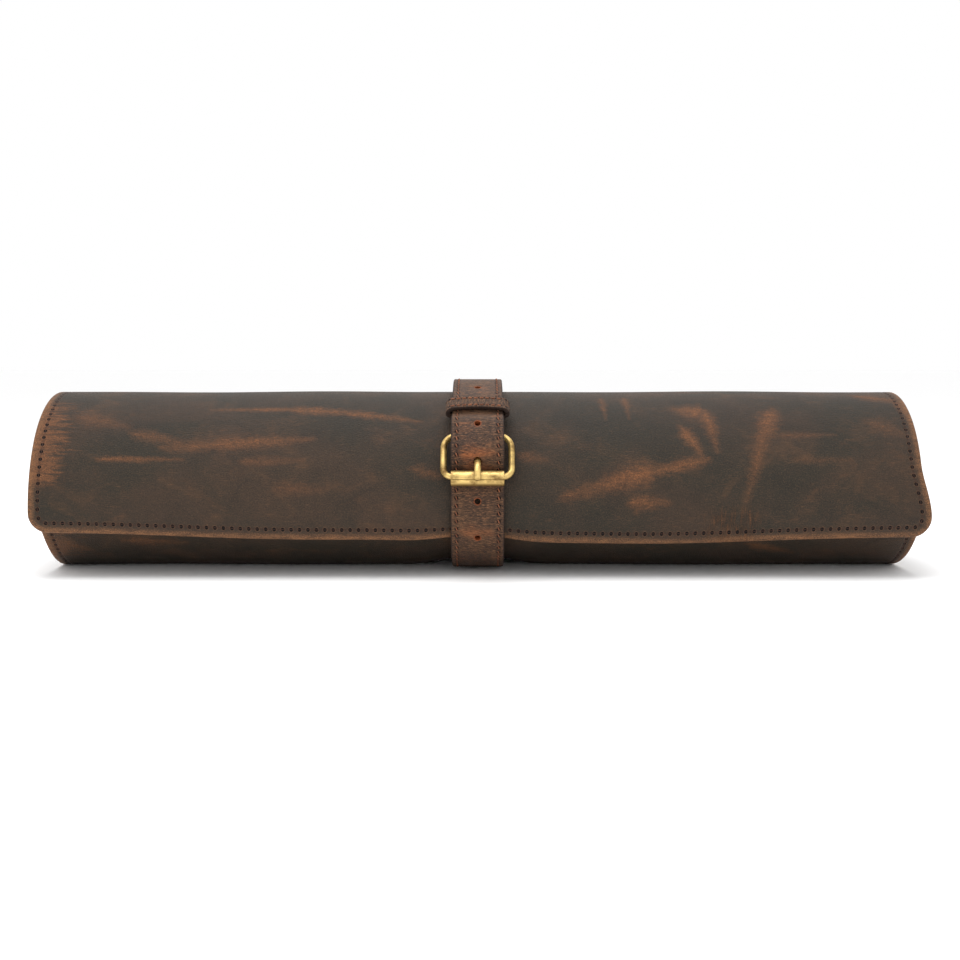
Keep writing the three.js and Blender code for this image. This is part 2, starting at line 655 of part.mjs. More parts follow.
// The strap that holds the buckle: from the back over the top, folded round the bar and back under itself.
function makeBuckleStrap() {
  const angles = strapStations(BAR_ANGLE + 3, STRAP_JOIN.buckleEnd).reverse();
  const thickness = angles.map((a) => readTable(BUCKLE_STRAP_THICKNESS, a));
  const upper = angles.map((a, i) => overRoll(a, readTable(BUCKLE_STRAP_HEIGHT, a) + thickness[i] / 2));
  const fold = roundBar(WIRE + GAP + SKIVED / 2, 0, 180, 30);
  const returned = strapStations(BAR_ANGLE + 3, BAR_ANGLE + 9.5).map((a) =>
    overRoll(a, ease(BAR_HEIGHT - FOLD_RADIUS, GAP, (a - BAR_ANGLE) / 9) + SKIVED / 2),
  );
  const line = [...upper, ...fold, ...returned];
  const geometry = strapAlong(
    line,
    (i) => thickness[i] ?? SKIVED,
    (i) => {
      const width = ease(STRAP_WIDTH - 1, FOLD_WIDTH, (i - upper.length + 4) / 3);
      return [-width / 2, width / 2];
    },
  );
  const slot = new THREE.BoxGeometry(2 * (PRONG_ROOT + GAP), 5 * FOLD_RADIUS, 3 * FOLD_RADIUS);
  slot.lookAt(OUT_OF_BAR);
  slot.translate(...BAR.clone().lerp(ROLLER, 0.1).toArray());
  return cut(geometry, slot);
}

// The prong's middle line past the bar: under the strap, up through its hole and over the roller.
const ON_ROLLER = ROLLER_HEIGHT + ROLLER_RADIUS + GAP + PRONG;
const PRONG_LINE = [
  { degrees: BAR_ANGLE - 5, height: BAR_HEIGHT + WIRE + PRONG_ROOT },
  { degrees: PRONG_HOLE_ANGLE + 4.5, height: 0.54 * ON_ROLLER },
  { degrees: PRONG_HOLE_ANGLE + 2, height: 0.5 * ON_ROLLER },
  { degrees: PRONG_HOLE_ANGLE, height: 0.58 * ON_ROLLER },
  { degrees: PRONG_HOLE_ANGLE - 2.2, height: 0.77 * ON_ROLLER },
  { degrees: ROLLER_ANGLE + 3.7, height: 0.93 * ON_ROLLER },
  { degrees: ROLLER_ANGLE + 0.7, height: ON_ROLLER },
  { degrees: ROLLER_ANGLE - 1.6, height: ON_ROLLER - 0.1 },
];

// The prong: wire bent round the bar, with its tip on the roller.
function makeProng(extra = 0) {
  const ring = roundBar(WIRE + GAP + PRONG_ROOT, -262, 0, 26);
  const reach = PRONG_LINE.map(({ degrees, height }) => overRoll(degrees, height));
  const curve = new THREE.CatmullRomCurve3([ring[ring.length - 1], ...reach], false, "centripetal");
  const points = [...ring.slice(0, -1), ...curve.getPoints(13)];
  const rootShare = ring.length / points.length;
  return tube(points, (t) => extra + ease(PRONG_ROOT, PRONG, (t - rootShare) / 0.25) * (t > 0.99 ? 0.6 : 1), 8);
}

// The strap's free end: from the back under the roll, up the front, through the buckle and keeper, over the top.
function makeTipStrap() {
  const middle = TIP_STRAP / 2;
  const heightAt = (a) => {
    if (a > 360 - 90) return readTable(TIP_STRAP_HEIGHT, a - 360);
    return ease(BUCKLE_STRAP + 2 * GAP, GAP, (a - STRAP_JOIN.buckleEnd - 2) / (STRAP_JOIN.seated - STRAP_JOIN.buckleEnd));
  };
  const crest = 360 + BAR_ANGLE - 9;
  const angles = [
    ...strapStations(STRAP_JOIN.tipRoot, 360 + ROLLER_ANGLE).slice(0, -1),
    ...degreesBetween(360 + ROLLER_ANGLE, crest, 2.1),
    ...strapStations(crest, 360 + TIP_END).slice(1),
  ];
  const line = angles.map((a) => roundPoint(a, heightAt(a) + middle));
  const lengths = line.map((p, i) => (i ? p.distanceTo(line[i - 1]) : 0));
  const along = lengths.map((_, i) => lengths.slice(0, i + 1).reduce((sum, l) => sum + l, 0));
  const total = along[along.length - 1];
  const geometry = strapAlong(
    line,
    () => TIP_STRAP,
    (i) => {
      const half = ease(STRAP_WIDTH, TIP_WIDTH, (angles[i] - 360) / 90) / 2;
      const bevel = clamp01((along[i] - total + TIP_BEVEL) / TIP_BEVEL) * 0.94;
      return [-half + 2 * half * bevel, half];
    },
  );
  return cut(geometry, ...strapHoles(line, along, angles), makeProng(GAP));
}

const roundPoint = (degrees, height) => overRoll(degrees > 360 ? degrees - 360 : degrees, height);

// Round holes at even steps along the strap, on both sides of the one that the prong takes.
function strapHoles(line, along, angles) {
  const pick = angles.findIndex((a) => a >= 360 + PRONG_HOLE_ANGLE);
  const holes = [];
  for (let k = -HOLES_BELOW; k <= HOLES_ABOVE; k++) {
    const at = along[pick] + k * HOLE_SPACING - (k < 0 ? PRONG_PULL : 0);
    const i = along.findIndex((s) => s >= at);
    const t = (at - along[i - 1]) / (along[i] - along[i - 1]);
    const across = line[i].clone().sub(line[i - 1]).normalize();
    const hole = new THREE.CylinderGeometry(HOLE_RADIUS, HOLE_RADIUS, 3 * TIP_STRAP, 10);
    hole.applyQuaternion(
      new THREE.Quaternion().setFromUnitVectors(new THREE.Vector3(0, 1, 0), new THREE.Vector3(0, -across.z, across.y)),
    );
    hole.translate(...line[i - 1].clone().lerp(line[i], t).toArray());
    if (k !== 0) holes.push(hole);
  }
  return holes;
}

// The keeper: a loop of leather round both straps, in the plane across them.
function makeKeeper() {
  const heightTop = readTable(TIP_STRAP_HEIGHT, KEEPER_ANGLE) + TIP_STRAP + GAP + KEEPER_CLEARANCE / 2;
  const halfInner = STRAP_WIDTH / 2 + KEEPER_CLEARANCE;
  const halfOuter = halfInner + KEEPER_TOP;
  const outer = roundedRectangle(halfOuter, GAP, heightTop + KEEPER_TOP, 3.4);
  outer.holes.push(roundedRectangle(halfInner, GAP + KEEPER_BASE, heightTop, 1));
  const geometry = new THREE.ExtrudeGeometry(outer, { depth: KEEPER_WIDTH, bevelEnabled: false, curveSegments: 3 });
  geometry.translate(0, 0, -KEEPER_WIDTH / 2);
  const on = pathAt(ROUND, "degrees", KEEPER_ANGLE);
  const normal = new THREE.Vector3(0, on.normal.x, on.normal.y);
  const x = new THREE.Vector3(1, 0, 0);
  geometry.applyMatrix4(new THREE.Matrix4().makeBasis(x, normal, x.clone().cross(normal)));
  geometry.translate(0, on.point.x, on.point.y);
  return geometryOf(solidOf(geometry));
}

function roundedRectangle(half, bottom, top, radius) {
  const shape = new THREE.Shape();
  shape.moveTo(-half + radius, bottom);
  shape.lineTo(half - radius, bottom);
  shape.absarc(half - radius, bottom + radius, radius, -Math.PI / 2, 0);
  shape.absarc(half - radius, top - radius, radius, 0, Math.PI / 2);
  shape.absarc(radius - half, top - radius, radius, Math.PI / 2, Math.PI);
  shape.absarc(radius - half, bottom + radius, radius, Math.PI, (3 * Math.PI) / 2);
  return shape;
}

// The frame's wire loop lies in the plane of the bar and the roller's axis, pulled up inside the loose roller.
function makeBuckleFrame() {
  const slack = ROLLER_RADIUS - ROLLER_WALL - WIRE - 2 * GAP;
  const reach = BAR.distanceTo(ROLLER) - slack;
  const loop = roundedLoop(BUCKLE_WIDTH / 2 - WIRE, 0, -reach, BAR_CORNER, ROLLER_CORNER, 4);
  const down = ROLLER.clone().sub(BAR).normalize();
  const points = loop.map((p) => BAR.clone().addScaledVector(down, -p.x).add(new THREE.Vector3(p.y, 0, 0)));
  const centre = BAR.clone().lerp(ROLLER, 0.5);
  const geometry = tube(points.map((p) => p.sub(centre)), () => WIRE, 10, true);
  return geometry.translate(...centre.toArray());
}

function makeRoller() {
  const inner = ROLLER_RADIUS - ROLLER_WALL;
  const profile = [
    [inner, -ROLLER_LENGTH / 2],
    [ROLLER_RADIUS, -ROLLER_LENGTH / 2],
    [ROLLER_RADIUS, ROLLER_LENGTH / 2],
    [inner, ROLLER_LENGTH / 2],
    [inner, -ROLLER_LENGTH / 2],
  ].map(([x, y]) => new THREE.Vector2(x, y));
  const geometry = new THREE.LatheGeometry(profile, 20);
  geometry.rotateZ(Math.PI / 2);
  geometry.translate(...ROLLER.toArray());
  return geometryOf(solidOf(geometry));
}

addPart("shell", makeShell(), MATERIALS.leather);
addPart("lining", makeLining(), MATERIALS.suede);
addPart("knife_pockets", makePocket(), MATERIALS.suede);
addPart("handle_flap", makeHandleFlap(), MATERIALS.suede);
addPart("hem_strip", makeHemStrip(), MATERIALS.leather);
addPart("divider_strip", makeDivider(), MATERIALS.leather);
addPart("zip_tape", makeZipTape(), MATERIALS.zip);
addPart("zip_chain", makeZipChain(), MATERIALS.zip);
addPart("zip_slider", makeZipSlider(), MATERIALS.brass);
addPart("zip_pull_ring", makePullRing(), MATERIALS.brass);
addPart("zip_pull_tab", makePullTab(), MATERIALS.leather);
addStrapPart("buckle_strap", makeBuckleStrap(), MATERIALS.strap);
addStrapPart("tip_strap", makeTipStrap(), MATERIALS.strap);
addStrapPart("keeper", makeKeeper(), MATERIALS.strap);
addStrapPart("buckle_frame", makeBuckleFrame(), MATERIALS.brass);
addStrapPart("buckle_roller", makeRoller(), MATERIALS.brass);
addStrapPart("buckle_prong", makeProng(), MATERIALS.brass);

// The origin is the middle of the base.
const box = new THREE.Box3().setFromObject(roll);
const middle = box.getCenter(new THREE.Vector3());
roll.position.set(-middle.x, -middle.y, -box.min.z);

export default roll;
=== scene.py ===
import math

import bpy
import numpy as np
from mathutils import Matrix, Vector


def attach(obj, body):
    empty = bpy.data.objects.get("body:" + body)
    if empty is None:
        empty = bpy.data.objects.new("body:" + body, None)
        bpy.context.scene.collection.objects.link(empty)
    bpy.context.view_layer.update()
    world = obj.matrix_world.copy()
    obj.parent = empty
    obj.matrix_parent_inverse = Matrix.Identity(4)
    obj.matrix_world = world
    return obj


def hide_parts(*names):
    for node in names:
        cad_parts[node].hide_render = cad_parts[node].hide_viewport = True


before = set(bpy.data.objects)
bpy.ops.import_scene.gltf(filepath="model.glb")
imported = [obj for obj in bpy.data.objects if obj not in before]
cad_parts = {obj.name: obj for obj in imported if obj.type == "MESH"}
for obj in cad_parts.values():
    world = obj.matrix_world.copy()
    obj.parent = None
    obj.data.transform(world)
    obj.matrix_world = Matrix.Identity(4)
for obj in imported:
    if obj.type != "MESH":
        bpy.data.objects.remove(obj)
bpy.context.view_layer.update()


# Leather panel: one square of oiled pull-up cowhide, 2 mm thick, turned over to 4.2 mm at all four edges
# and sewn down 5.2 mm in. It is wound about one and a third turns round an open core, with its outer
# edge hanging free over the front. All lengths are in millimetres until a mesh is made.
PANEL_LENGTH = 450.0  # along the roll
PANEL_WIDTH = 450.0  # along the winding
LEATHER = 2.0
HEM_WIDTH = 7.0
HEM_THICKNESS = 4.2
CORNER_RADIUS = 9.5
GAP = 0.3
PANEL_EDGE_ROUND = 1.4
HALF_DEPTH = 58.0
FRONT_HEIGHT = 36.5
TOP_RISE = 55.6
BASE_SINK = 1.0
BASE_BLEND = 0.5
FRONT_SQUARENESS = 2.05
BACK_SQUARENESS = 2.4
FLAP_ANGLE = -18.6
TURN_PITCH = 7.7  # from one turn to the next
TUCK = (262.0, 330.0)  # degrees over which the second turn passes under the first
FLAP_FLARE = 3.0
FLARE_REACH = 45.0
FLAP_SAG = 6.7
SAG_REACH = 70.0
EDGE_SAG = [(-1.0, 0.0), (-0.3, 0.65), (0.36, 1.0), (0.98, 0.38)]
LEFT_SETBACK = [(200.0, 0.0), (315.0, 1.8)]
RIGHT_SETBACK = [(8.0, 0.0), (35.0, 4.3), (200.0, 4.6), (315.0, 1.8)]
STRAP_AT = -1.2
STRAP_DENT = 3.4  # the soft base makes room for the strap under it
DENT_FLAT = 14.4
DENT_REACH = 40.4
DENT_HEIGHT = 14.6
WAVE_HEIGHT = 0.35  # of the soft leather's unevenness
WAVE_REACH = 30.0
WAVE_END = 370.0
WAVE_FADE = 40.0
PANEL_STITCH_INSET = 5.2
PANEL_STITCH_PITCH = 4.2
PANEL_GROOVE = 0.25  # depth of the groove that the seam draws in
PANEL_GROOVE_WIDTH = 0.6
HEM_SLOPE = 1.0  # where the turned edge thins out to the single leather
HEM_SLOPE_INSET = 0.3
SHIFT = np.array([0.0, 2.8, 0.0])  # puts the middle of the base at the origin


def smooth(t):
    t = np.clip(t, 0.0, 1.0)
    return t * t * (3.0 - 2.0 * t)


def read_table(rows, at):
    """Eases from one row (at, value) to the next."""
    value = np.full(np.shape(at), float(rows[0][1]))
    for (a, from_value), (b, to_value) in zip(rows, rows[1:]):
        value = np.where(at > a, from_value + (to_value - from_value) * smooth((at - a) / (b - a)), value)
    return value


def soft_max(a, b):
    return np.maximum(a, b) + np.maximum(0.0, BASE_BLEND - np.abs(a - b)) ** 2 / (4.0 * BASE_BLEND)


def roll_outline(degrees):
    """Y and Z of the roll's outer face at angles from the front over the top."""
    c = np.cos(np.radians(degrees))
    s = np.sin(np.radians(degrees))
    power = 2.0 / np.where(c > 0, FRONT_SQUARENESS, BACK_SQUARENESS)
    y = np.where(s >= 0, -HALF_DEPTH * c, -HALF_DEPTH * np.sign(c) * np.abs(c) ** power)
    low = FRONT_HEIGHT - (FRONT_HEIGHT + BASE_SINK) * np.abs(s) ** power
    return np.stack([y, np.where(s >= 0, FRONT_HEIGHT + TOP_RISE * s, low)], -1)


def unit(vectors):
    return vectors / np.linalg.norm(vectors, axis=-1, keepdims=True)


def distances(line):
    """How far along a line each of its points lies."""
    return np.concatenate([[0.0], np.cumsum(np.linalg.norm(np.diff(line, axis=0), axis=1))])


def read_at(at, places, rows):
    """The rows read at places between them."""
    return np.stack([np.interp(at, places, column) for column in rows.T], -1)


def outward(points):
    along = unit(points[2:] - points[:-2])
    return np.stack([-along[:, 1], along[:, 0]], -1)


def trace_path(from_degrees, to_degrees, inset):
    """Follows the outline, moved inwards, with each point's outward normal and arc length."""
    step = 0.5
    raw = from_degrees + step * np.arange(-1, round((to_degrees - from_degrees) / step) + 2)
    on = roll_outline(raw)
    moved = on.copy()
    moved[1:-1] -= outward(on) * inset(raw[1:-1])[:, None]
    point = moved[2:-2]
    normal = outward(moved)[1:-1]
    return {"degrees": raw[2:-2], "point": point, "normal": normal, "length": distances(point)}


def path_at(path, key, at):
    """Point and outward normal of a path, found by its degrees or its length."""
    return read_at(at, path[key], path["point"]), unit(read_at(at, path[key], path["normal"]))


def tucked_in(degrees):
    return TURN_PITCH * smooth((degrees - TUCK[0]) / (TUCK[1] - TUCK[0]))


WINDING = trace_path(FLAP_ANGLE - 10, 520, tucked_in)
FLAP_START = np.interp(FLAP_ANGLE, WINDING["degrees"], WINDING["length"])
ROUND = trace_path(-60, 500, np.zeros_like)


def dent_at(x):
    share = np.clip((np.abs(x - STRAP_AT) - DENT_FLAT) / (DENT_REACH - DENT_FLAT), 0.0, 1.0)
    return STRAP_DENT * (1.0 - share) ** 2


def on_panel(length, x, depth):
    """The panel's points at an arc length from its outer edge, an X and a depth inside its outer face."""
    length, x, depth = np.broadcast_arrays(length, x, depth)
    dent = dent_at(x)
    free = 1.0 - dent / STRAP_DENT
    sag = FLAP_SAG * read_table(EDGE_SAG, 2 * x / PANEL_LENGTH)
    sag = sag * (1 - np.clip(length / SAG_REACH, 0, 1)) ** 2
    flare = FLAP_FLARE * free * (1 - np.clip(length / FLARE_REACH, 0, 1)) ** 2
    wave = 0.6 * np.sin(x / 31 + 0.7) * np.sin(length / 27 + 0.4) + 0.4 * np.sin(x / 17 + length / 23 + 2)
    wave = wave * smooth((np.abs(x - STRAP_AT) - DENT_FLAT) / WAVE_REACH)
    flare = flare + WAVE_HEIGHT * wave * smooth((WAVE_END - length) / WAVE_FADE)
    point, normal = path_at(WINDING, "length", FLAP_START + length - sag)
    y = point[..., 0] - normal[..., 0] * (depth - flare)
    z = point[..., 1] - normal[..., 1] * (depth - flare)
    lifted = z + dent * np.clip(1.0 - point[..., 1] / DENT_HEIGHT, 0.0, 1.0)
    return np.stack([x, y, soft_max(lifted - depth, dent) + depth], -1)


def ends_at(length):
    over = np.maximum(0.0, CORNER_RADIUS - length)
    half = PANEL_LENGTH / 2 - (CORNER_RADIUS - np.sqrt(CORNER_RADIUS**2 - over**2))
    return read_table(LEFT_SETBACK, length) - half, half - read_table(RIGHT_SETBACK, length)


def fillet(distance, radius):
    """How far a rounded edge falls back at a distance from it."""
    left = np.clip(radius - distance, 0.0, radius)
    return radius - np.sqrt(radius**2 - left**2)


def face_out(piece):
    """Turns the faces of a closed mesh outwards if its volume comes out negative."""
    mesh = piece.data
    mesh.calc_loop_triangles()
    corners = np.zeros(len(mesh.loop_triangles) * 3, np.int32)
    mesh.loop_triangles.foreach_get("vertices", corners)
    places = np.zeros(len(mesh.vertices) * 3)
    mesh.vertices.foreach_get("co", places)
    tri = places.reshape(-1, 3)[corners.reshape(-1, 3)]
    if np.einsum("ij,ij->i", tri[:, 0], np.cross(tri[:, 1], tri[:, 2])).sum() < 0:
        mesh.flip_normals()


def add_mesh(name, points, faces, smooth_faces=True, maps=()):
    """A piece from points in the roll's own millimetres. A map gives two such values a point."""
    mesh = bpy.data.meshes.new(name)
    mesh.from_pydata(((np.reshape(points, (-1, 3)) + SHIFT) / 1000).tolist(), [], faces)
    for label, pairs in maps:
        corners = (pairs / 100)[np.ravel(faces)].astype(np.float32)
        mesh.uv_layers.new(name=label).data.foreach_set("uv", corners.ravel())
    mesh.polygons.foreach_set("use_smooth", np.full(len(faces), smooth_faces))
    piece = bpy.data.objects.new(name, mesh)
    bpy.context.scene.collection.objects.link(piece)
    face_out(piece)
    return piece


def grid_faces(index):
    return np.stack([index[:-1, :-1], index[:-1, 1:], index[1:, 1:], index[1:, :-1]], -1).reshape(-1, 4)


def make_skin(name, near, far, uv, edge_uv=None, closed=False):
    """One closed mesh from two grids of points, with walls between them round the border."""
    rows, columns = near.shape[:2]
    index = np.arange(rows * columns).reshape(rows, columns)
    if closed:
        index = np.concatenate([index, index[:1]])
    front = grid_faces(index)
    sides = [(index[:, 0], False), (index[:, -1], True)]
    if not closed:
        sides += [(index[0], True), (index[-1], False)]
    walls = []
    for side, turned in sides:
        under = side + rows * columns
        wall = np.stack([side[:-1], side[1:], under[1:], under[:-1]], -1)
        walls.append(wall[:, ::-1] if turned else wall)
    faces = np.concatenate([front, front[:, ::-1] + rows * columns, *walls]).tolist()
    named = [("panel", uv)] if edge_uv is None else [("panel", uv), ("edge", edge_uv)]
    maps = [(label, np.tile(pairs.reshape(-1, 2), (2, 1))) for label, pairs in named]
    return add_mesh(name, np.concatenate([near, far]), faces, maps=maps)


def spread(low, high, step, fine):
    """Places from low to high at about a step, with finer offsets inside both borders."""
    count = max(2, round((high - low - 2 * fine[-1]) / step) + 1)
    middle = np.linspace(low + fine[-1], high - fine[-1], count)[1:-1]
    return np.concatenate([low + np.array(fine), middle, high - np.array(fine[::-1])])


END_BAND = 12.0  # the outermost columns keep their distance from both ends
HEM_OFFSETS = (0.0, 0.12, 0.35, 0.7, 1.1, 1.6, 2.6, 3.6, 4.1, 4.6, 5.1, 5.6, 6.4, 7.0, 7.6, 8.6, 10.0)
panel_rows = np.concatenate(
    [
        HEM_OFFSETS,
        np.arange(12.0, 318.0, 2.4),
        np.arange(318.0, 438.0, 4.0),
        PANEL_WIDTH - np.array(HEM_OFFSETS[::-1]),
    ]
)
column_shares = spread(0.0, PANEL_LENGTH, 2.5, HEM_OFFSETS)
left, right = ends_at(panel_rows)
length = panel_rows[:, None] + 0 * column_shares
from_left = np.minimum(column_shares, END_BAND)
from_right = np.minimum(PANEL_LENGTH - column_shares, END_BAND)
middle_share = np.clip((column_shares - END_BAND) / (PANEL_LENGTH - 2 * END_BAND), 0, 1)
middle = (right - left - 2 * END_BAND)[:, None] * middle_share
x = left[:, None] + from_left + middle + (END_BAND - from_right)
half_here = PANEL_LENGTH / 2
set_left = read_table(LEFT_SETBACK, length)
set_right = read_table(RIGHT_SETBACK, length)
side = np.minimum(x + half_here - set_left, half_here - set_right - x)
in_corner = (length < CORNER_RADIUS) & (side < CORNER_RADIUS)
corner_distance = CORNER_RADIUS - np.hypot(CORNER_RADIUS - length, CORNER_RADIUS - side)
to_edge = np.where(in_corner, corner_distance, np.minimum(np.minimum(side, length), PANEL_WIDTH - length))
to_edge = np.maximum(to_edge, 0.0)

# How far along the seam a point lies, for the stitch holes: up an end, round the corner, along the edge.
seam_radius = CORNER_RADIUS - PANEL_STITCH_INSET
quarter = seam_radius * math.pi / 2
turn = np.arctan2(np.maximum(CORNER_RADIUS - length, 0), np.maximum(CORNER_RADIUS - side, 1e-6))
edge_run = PANEL_LENGTH - 2 * CORNER_RADIUS
is_left = x < 0
along_left = np.where(length > CORNER_RADIUS, CORNER_RADIUS - length, turn * seam_radius)
along_right = 2 * quarter + edge_run - along_left
on_end = np.where(is_left, along_left, along_right)
along_flap = quarter + x + half_here - CORNER_RADIUS
seam_run = np.where(side < np.maximum(length, CORNER_RADIUS), on_end, along_flap)
seam_run = np.where(PANEL_WIDTH - length < np.minimum(side, length), along_flap, seam_run)

groove = PANEL_GROOVE * np.exp(-(((to_edge - PANEL_STITCH_INSET) / PANEL_GROOVE_WIDTH) ** 2))
thinned = smooth((to_edge - HEM_WIDTH + HEM_SLOPE_INSET) / HEM_SLOPE)
thickness = LEATHER + (HEM_THICKNESS - LEATHER) * (1 - thinned)
round_off = fillet(to_edge, PANEL_EDGE_ROUND)
panel = make_skin(
    "leather_panel",
    on_panel(length, x, round_off + groove),
    on_panel(length, x, thickness - round_off),
    np.stack([x, length], -1),
    np.stack([to_edge, seam_run], -1),
)


def paint(red, green, blue):
    """A colour as a photograph gives it, from 0 to 255, turned into the shader's linear light."""
    linear = [((v / 255 + 0.055) / 1.055) ** 2.4 if v > 10 else v / 255 / 12.92 for v in (red, green, blue)]
    return (*linear, 1.0)


class Shader:
    """Adds nodes to a material or a group. An input is a number, a colour, a vector or a node's output."""

    def __init__(self, tree):
        self.tree = tree

    def add(self, kind, *inputs, output=0, **settings):
        node = self.tree.nodes.new(kind)
        for key, value in settings.items():
            setattr(node, key, value)
        for key, value in inputs:
            if isinstance(value, bpy.types.NodeSocket):
                self.tree.links.new(value, node.inputs[key])
            else:
                node.inputs[key].default_value = value
        return node.outputs[output]

    def link(self, value, socket):
        self.tree.links.new(value, socket)

    def split(self, vector):
        node = self.tree.nodes.new("ShaderNodeSeparateXYZ")
        self.link(vector, node.inputs[0])
        return node.outputs

    def math(self, operation, *values, clamp=False):
        return self.add("ShaderNodeMath", *enumerate(values), operation=operation, use_clamp=clamp)

    def plus(self, a, b):
        return self.math("ADD", a, b)

    def minus(self, a, b, clamp=False):
        return self.math("SUBTRACT", a, b, clamp=clamp)

    def times(self, a, b, clamp=False):
        return self.math("MULTIPLY", a, b, clamp=clamp)

    def vector(self, operation, *values, output=0):
        return self.add("ShaderNodeVectorMath", *enumerate(values), operation=operation, output=output)

    def scaled(self, where, x, y, z=1.0):
        return self.vector("MULTIPLY", where, (x, y, z))

    def step(self, value, low, high):
        """0 below low and 1 above high, or the other way round, with a soft step between."""
        inputs = [("Value", value), ("From Min", low), ("From Max", high)]
        return self.add("ShaderNodeMapRange", *inputs, interpolation_type="SMOOTHSTEP")

    def noise(self, where, scale, detail=3.0, roughness=0.5, distortion=0.0):
        inputs = [("Vector", where), ("Scale", scale), ("Detail", detail), ("Roughness", roughness)]
        return self.add("ShaderNodeTexNoise", *inputs, ("Distortion", distortion))

    def band(self, value, rise, fall):
        """1 between two soft steps, each given by where it starts and ends."""
        return self.times(self.step(value, *rise), self.step(value, *fall))

    def map_mm(self, label):
        """The piece's own flat map, in millimetres."""
        return self.vector("MULTIPLY", self.add("ShaderNodeUVMap", uv_map=label), (100, 100, 0))

    def place_mm(self):
        """The place on the piece, in millimetres."""
        return self.vector("MULTIPLY", self.add("ShaderNodeTexCoord", output=3), (1000, 1000, 1000))

    def mix(self, share, a, b):
        return self.add("ShaderNodeMix", (0, share), (6, a), (7, b), output=2, data_type="RGBA")

    def layers(self, colour, *layers):
        """The colour with tones laid over it, each given by a mask, a strength and a tone."""
        for mask, strength, tone in layers:
            colour = self.mix(self.times(mask, strength), colour, paint(*tone))
        return colour

    def group(self, group, output, **inputs):
        node = self.tree.nodes.new("ShaderNodeGroup")
        node.node_tree = group
        for key, value in inputs.items():
            socket = node.inputs[key.replace("_", " ")]
            if isinstance(value, bpy.types.NodeSocket):
                self.tree.links.new(value, socket)
            else:
                socket.default_value = value
        return node.outputs[output]

    def bump(self, height, distance):
        return self.add("ShaderNodeBump", ("Height", height), ("Distance", distance), ("Strength", 1.0))

    def dress(self, surface, colour, roughness, relief, depth):
        """Links a colour, a roughness (its least, what a mask adds, the mask) and a relief to the surface."""
        least, more, mask = roughness
        self.link(colour, surface["Base Color"])
        self.link(self.plus(least, self.times(mask, more)), surface["Roughness"])
        self.link(self.bump(relief, depth), surface["Normal"])


def start_group(name, inputs, outputs):
    """A node group with named inputs (name, kind, default) and outputs. Returns it with its own nodes."""
    group = bpy.data.node_groups.new(name, "ShaderNodeTree")
    for label, kind, default in inputs:
        socket = group.interface.new_socket(name=label, in_out="INPUT", socket_type="NodeSocket" + kind)
        socket.default_value = default
    for label in outputs:
        group.interface.new_socket(name=label, in_out="OUTPUT", socket_type="NodeSocketFloat")
    entry = group.nodes.new("NodeGroupInput")
    exit_node = group.nodes.new("NodeGroupOutput")
    return group, Shader(group), entry.outputs, exit_node.inputs


def start_material(name, **sockets):
    """A material with one Principled shader whose constants are set on its own sockets."""
    material = bpy.data.materials.new(name)
    material.use_nodes = True
    shader = Shader(material.node_tree)
    surface = material.node_tree.nodes["Principled BSDF"]
    for key, value in sockets.items():
        surface.inputs[key.replace("_", " ")].default_value = value
    return material, shader, surface.inputs


# Fine grain of cowhide: small rounded pebbles with a network of creases between them.
leather_grain, made, given, result = start_group(
    "leather_grain",
    [("Where", "Vector", (0, 0, 0)), ("Pebble", "Float", 1.3), ("Unevenness", "Float", 0.6)],
    ["Height", "Crease"],
)
pebble_scale = made.math("DIVIDE", 1.0, given["Pebble"])
bend = made.add("ShaderNodeTexNoise", ("Vector", given["Where"]), ("Scale", 0.35), ("Detail", 2.0), output=1)
bent = made.vector("MULTIPLY_ADD", bend, (1.6, 1.6, 0.0), given["Where"])
cells = made.add(
    "ShaderNodeTexVoronoi",
    ("Vector", bent),
    ("Scale", pebble_scale),
    ("Randomness", 0.9),
    feature="DISTANCE_TO_EDGE",
)
dome = made.step(cells, 0.0, 0.28)
fine = made.noise(given["Where"], 1.9, 3.0, 0.6)
uneven = made.times(fine, given["Unevenness"])
made.link(made.plus(dome, uneven), result["Height"])
made.link(made.minus(1.0, dome, clamp=True), result["Crease"])

# Pull-up: where waxed leather has been bent or rubbed, the wax moves away and the paler tan shows.
pull_up, made, given, result = start_group(
    "pull_up",
    [
        ("Where", "Vector", (0, 0, 0)),
        ("Size", "Float", 40.0),
        ("Stretch", "Float", 2.0),
        ("Amount", "Float", 0.5),
        ("Softness", "Float", 0.15),
    ],
    ["Mask"],
)
parts = made.split(given["Where"])
across = made.times(parts[1], given["Stretch"])
stretched = made.add("ShaderNodeCombineXYZ", (0, parts[0]), (1, across), (2, parts[2]))
patches = made.noise(stretched, made.math("DIVIDE", 1.0, given["Size"]), 5.0, 0.62, 0.6)
low = made.minus(1.0, given["Amount"])
made.link(made.step(patches, low, made.plus(low, given["Softness"])), result["Mask"])

# One scuff: a frayed stroke from one place to another, joined to those before it.
scuff_stroke, made, given, result = start_group(
    "scuff_stroke",
    [
        ("So far", "Float", 0.0),
        ("Where", "Vector", (0, 0, 0)),
        ("From", "Vector", (0, 0, 0)),
        ("To", "Vector", (1, 0, 0)),
        ("Width", "Float", 3.0),
        ("Fray", "Float", 0.5),
        ("Strength", "Float", 1.0),
    ],
    ["Mask"],
)
reach = made.vector("SUBTRACT", given["To"], given["From"])
offset = made.vector("SUBTRACT", given["Where"], given["From"])
projected = made.vector("DOT_PRODUCT", offset, reach, output=1)
reach_squared = made.vector("DOT_PRODUCT", reach, reach, output=1)
share = made.math("DIVIDE", projected, reach_squared, clamp=True)
nearest = made.add("ShaderNodeVectorMath", (0, reach), ("Scale", share), operation="SCALE")
away = made.vector("LENGTH", made.vector("SUBTRACT", offset, nearest), output=1)
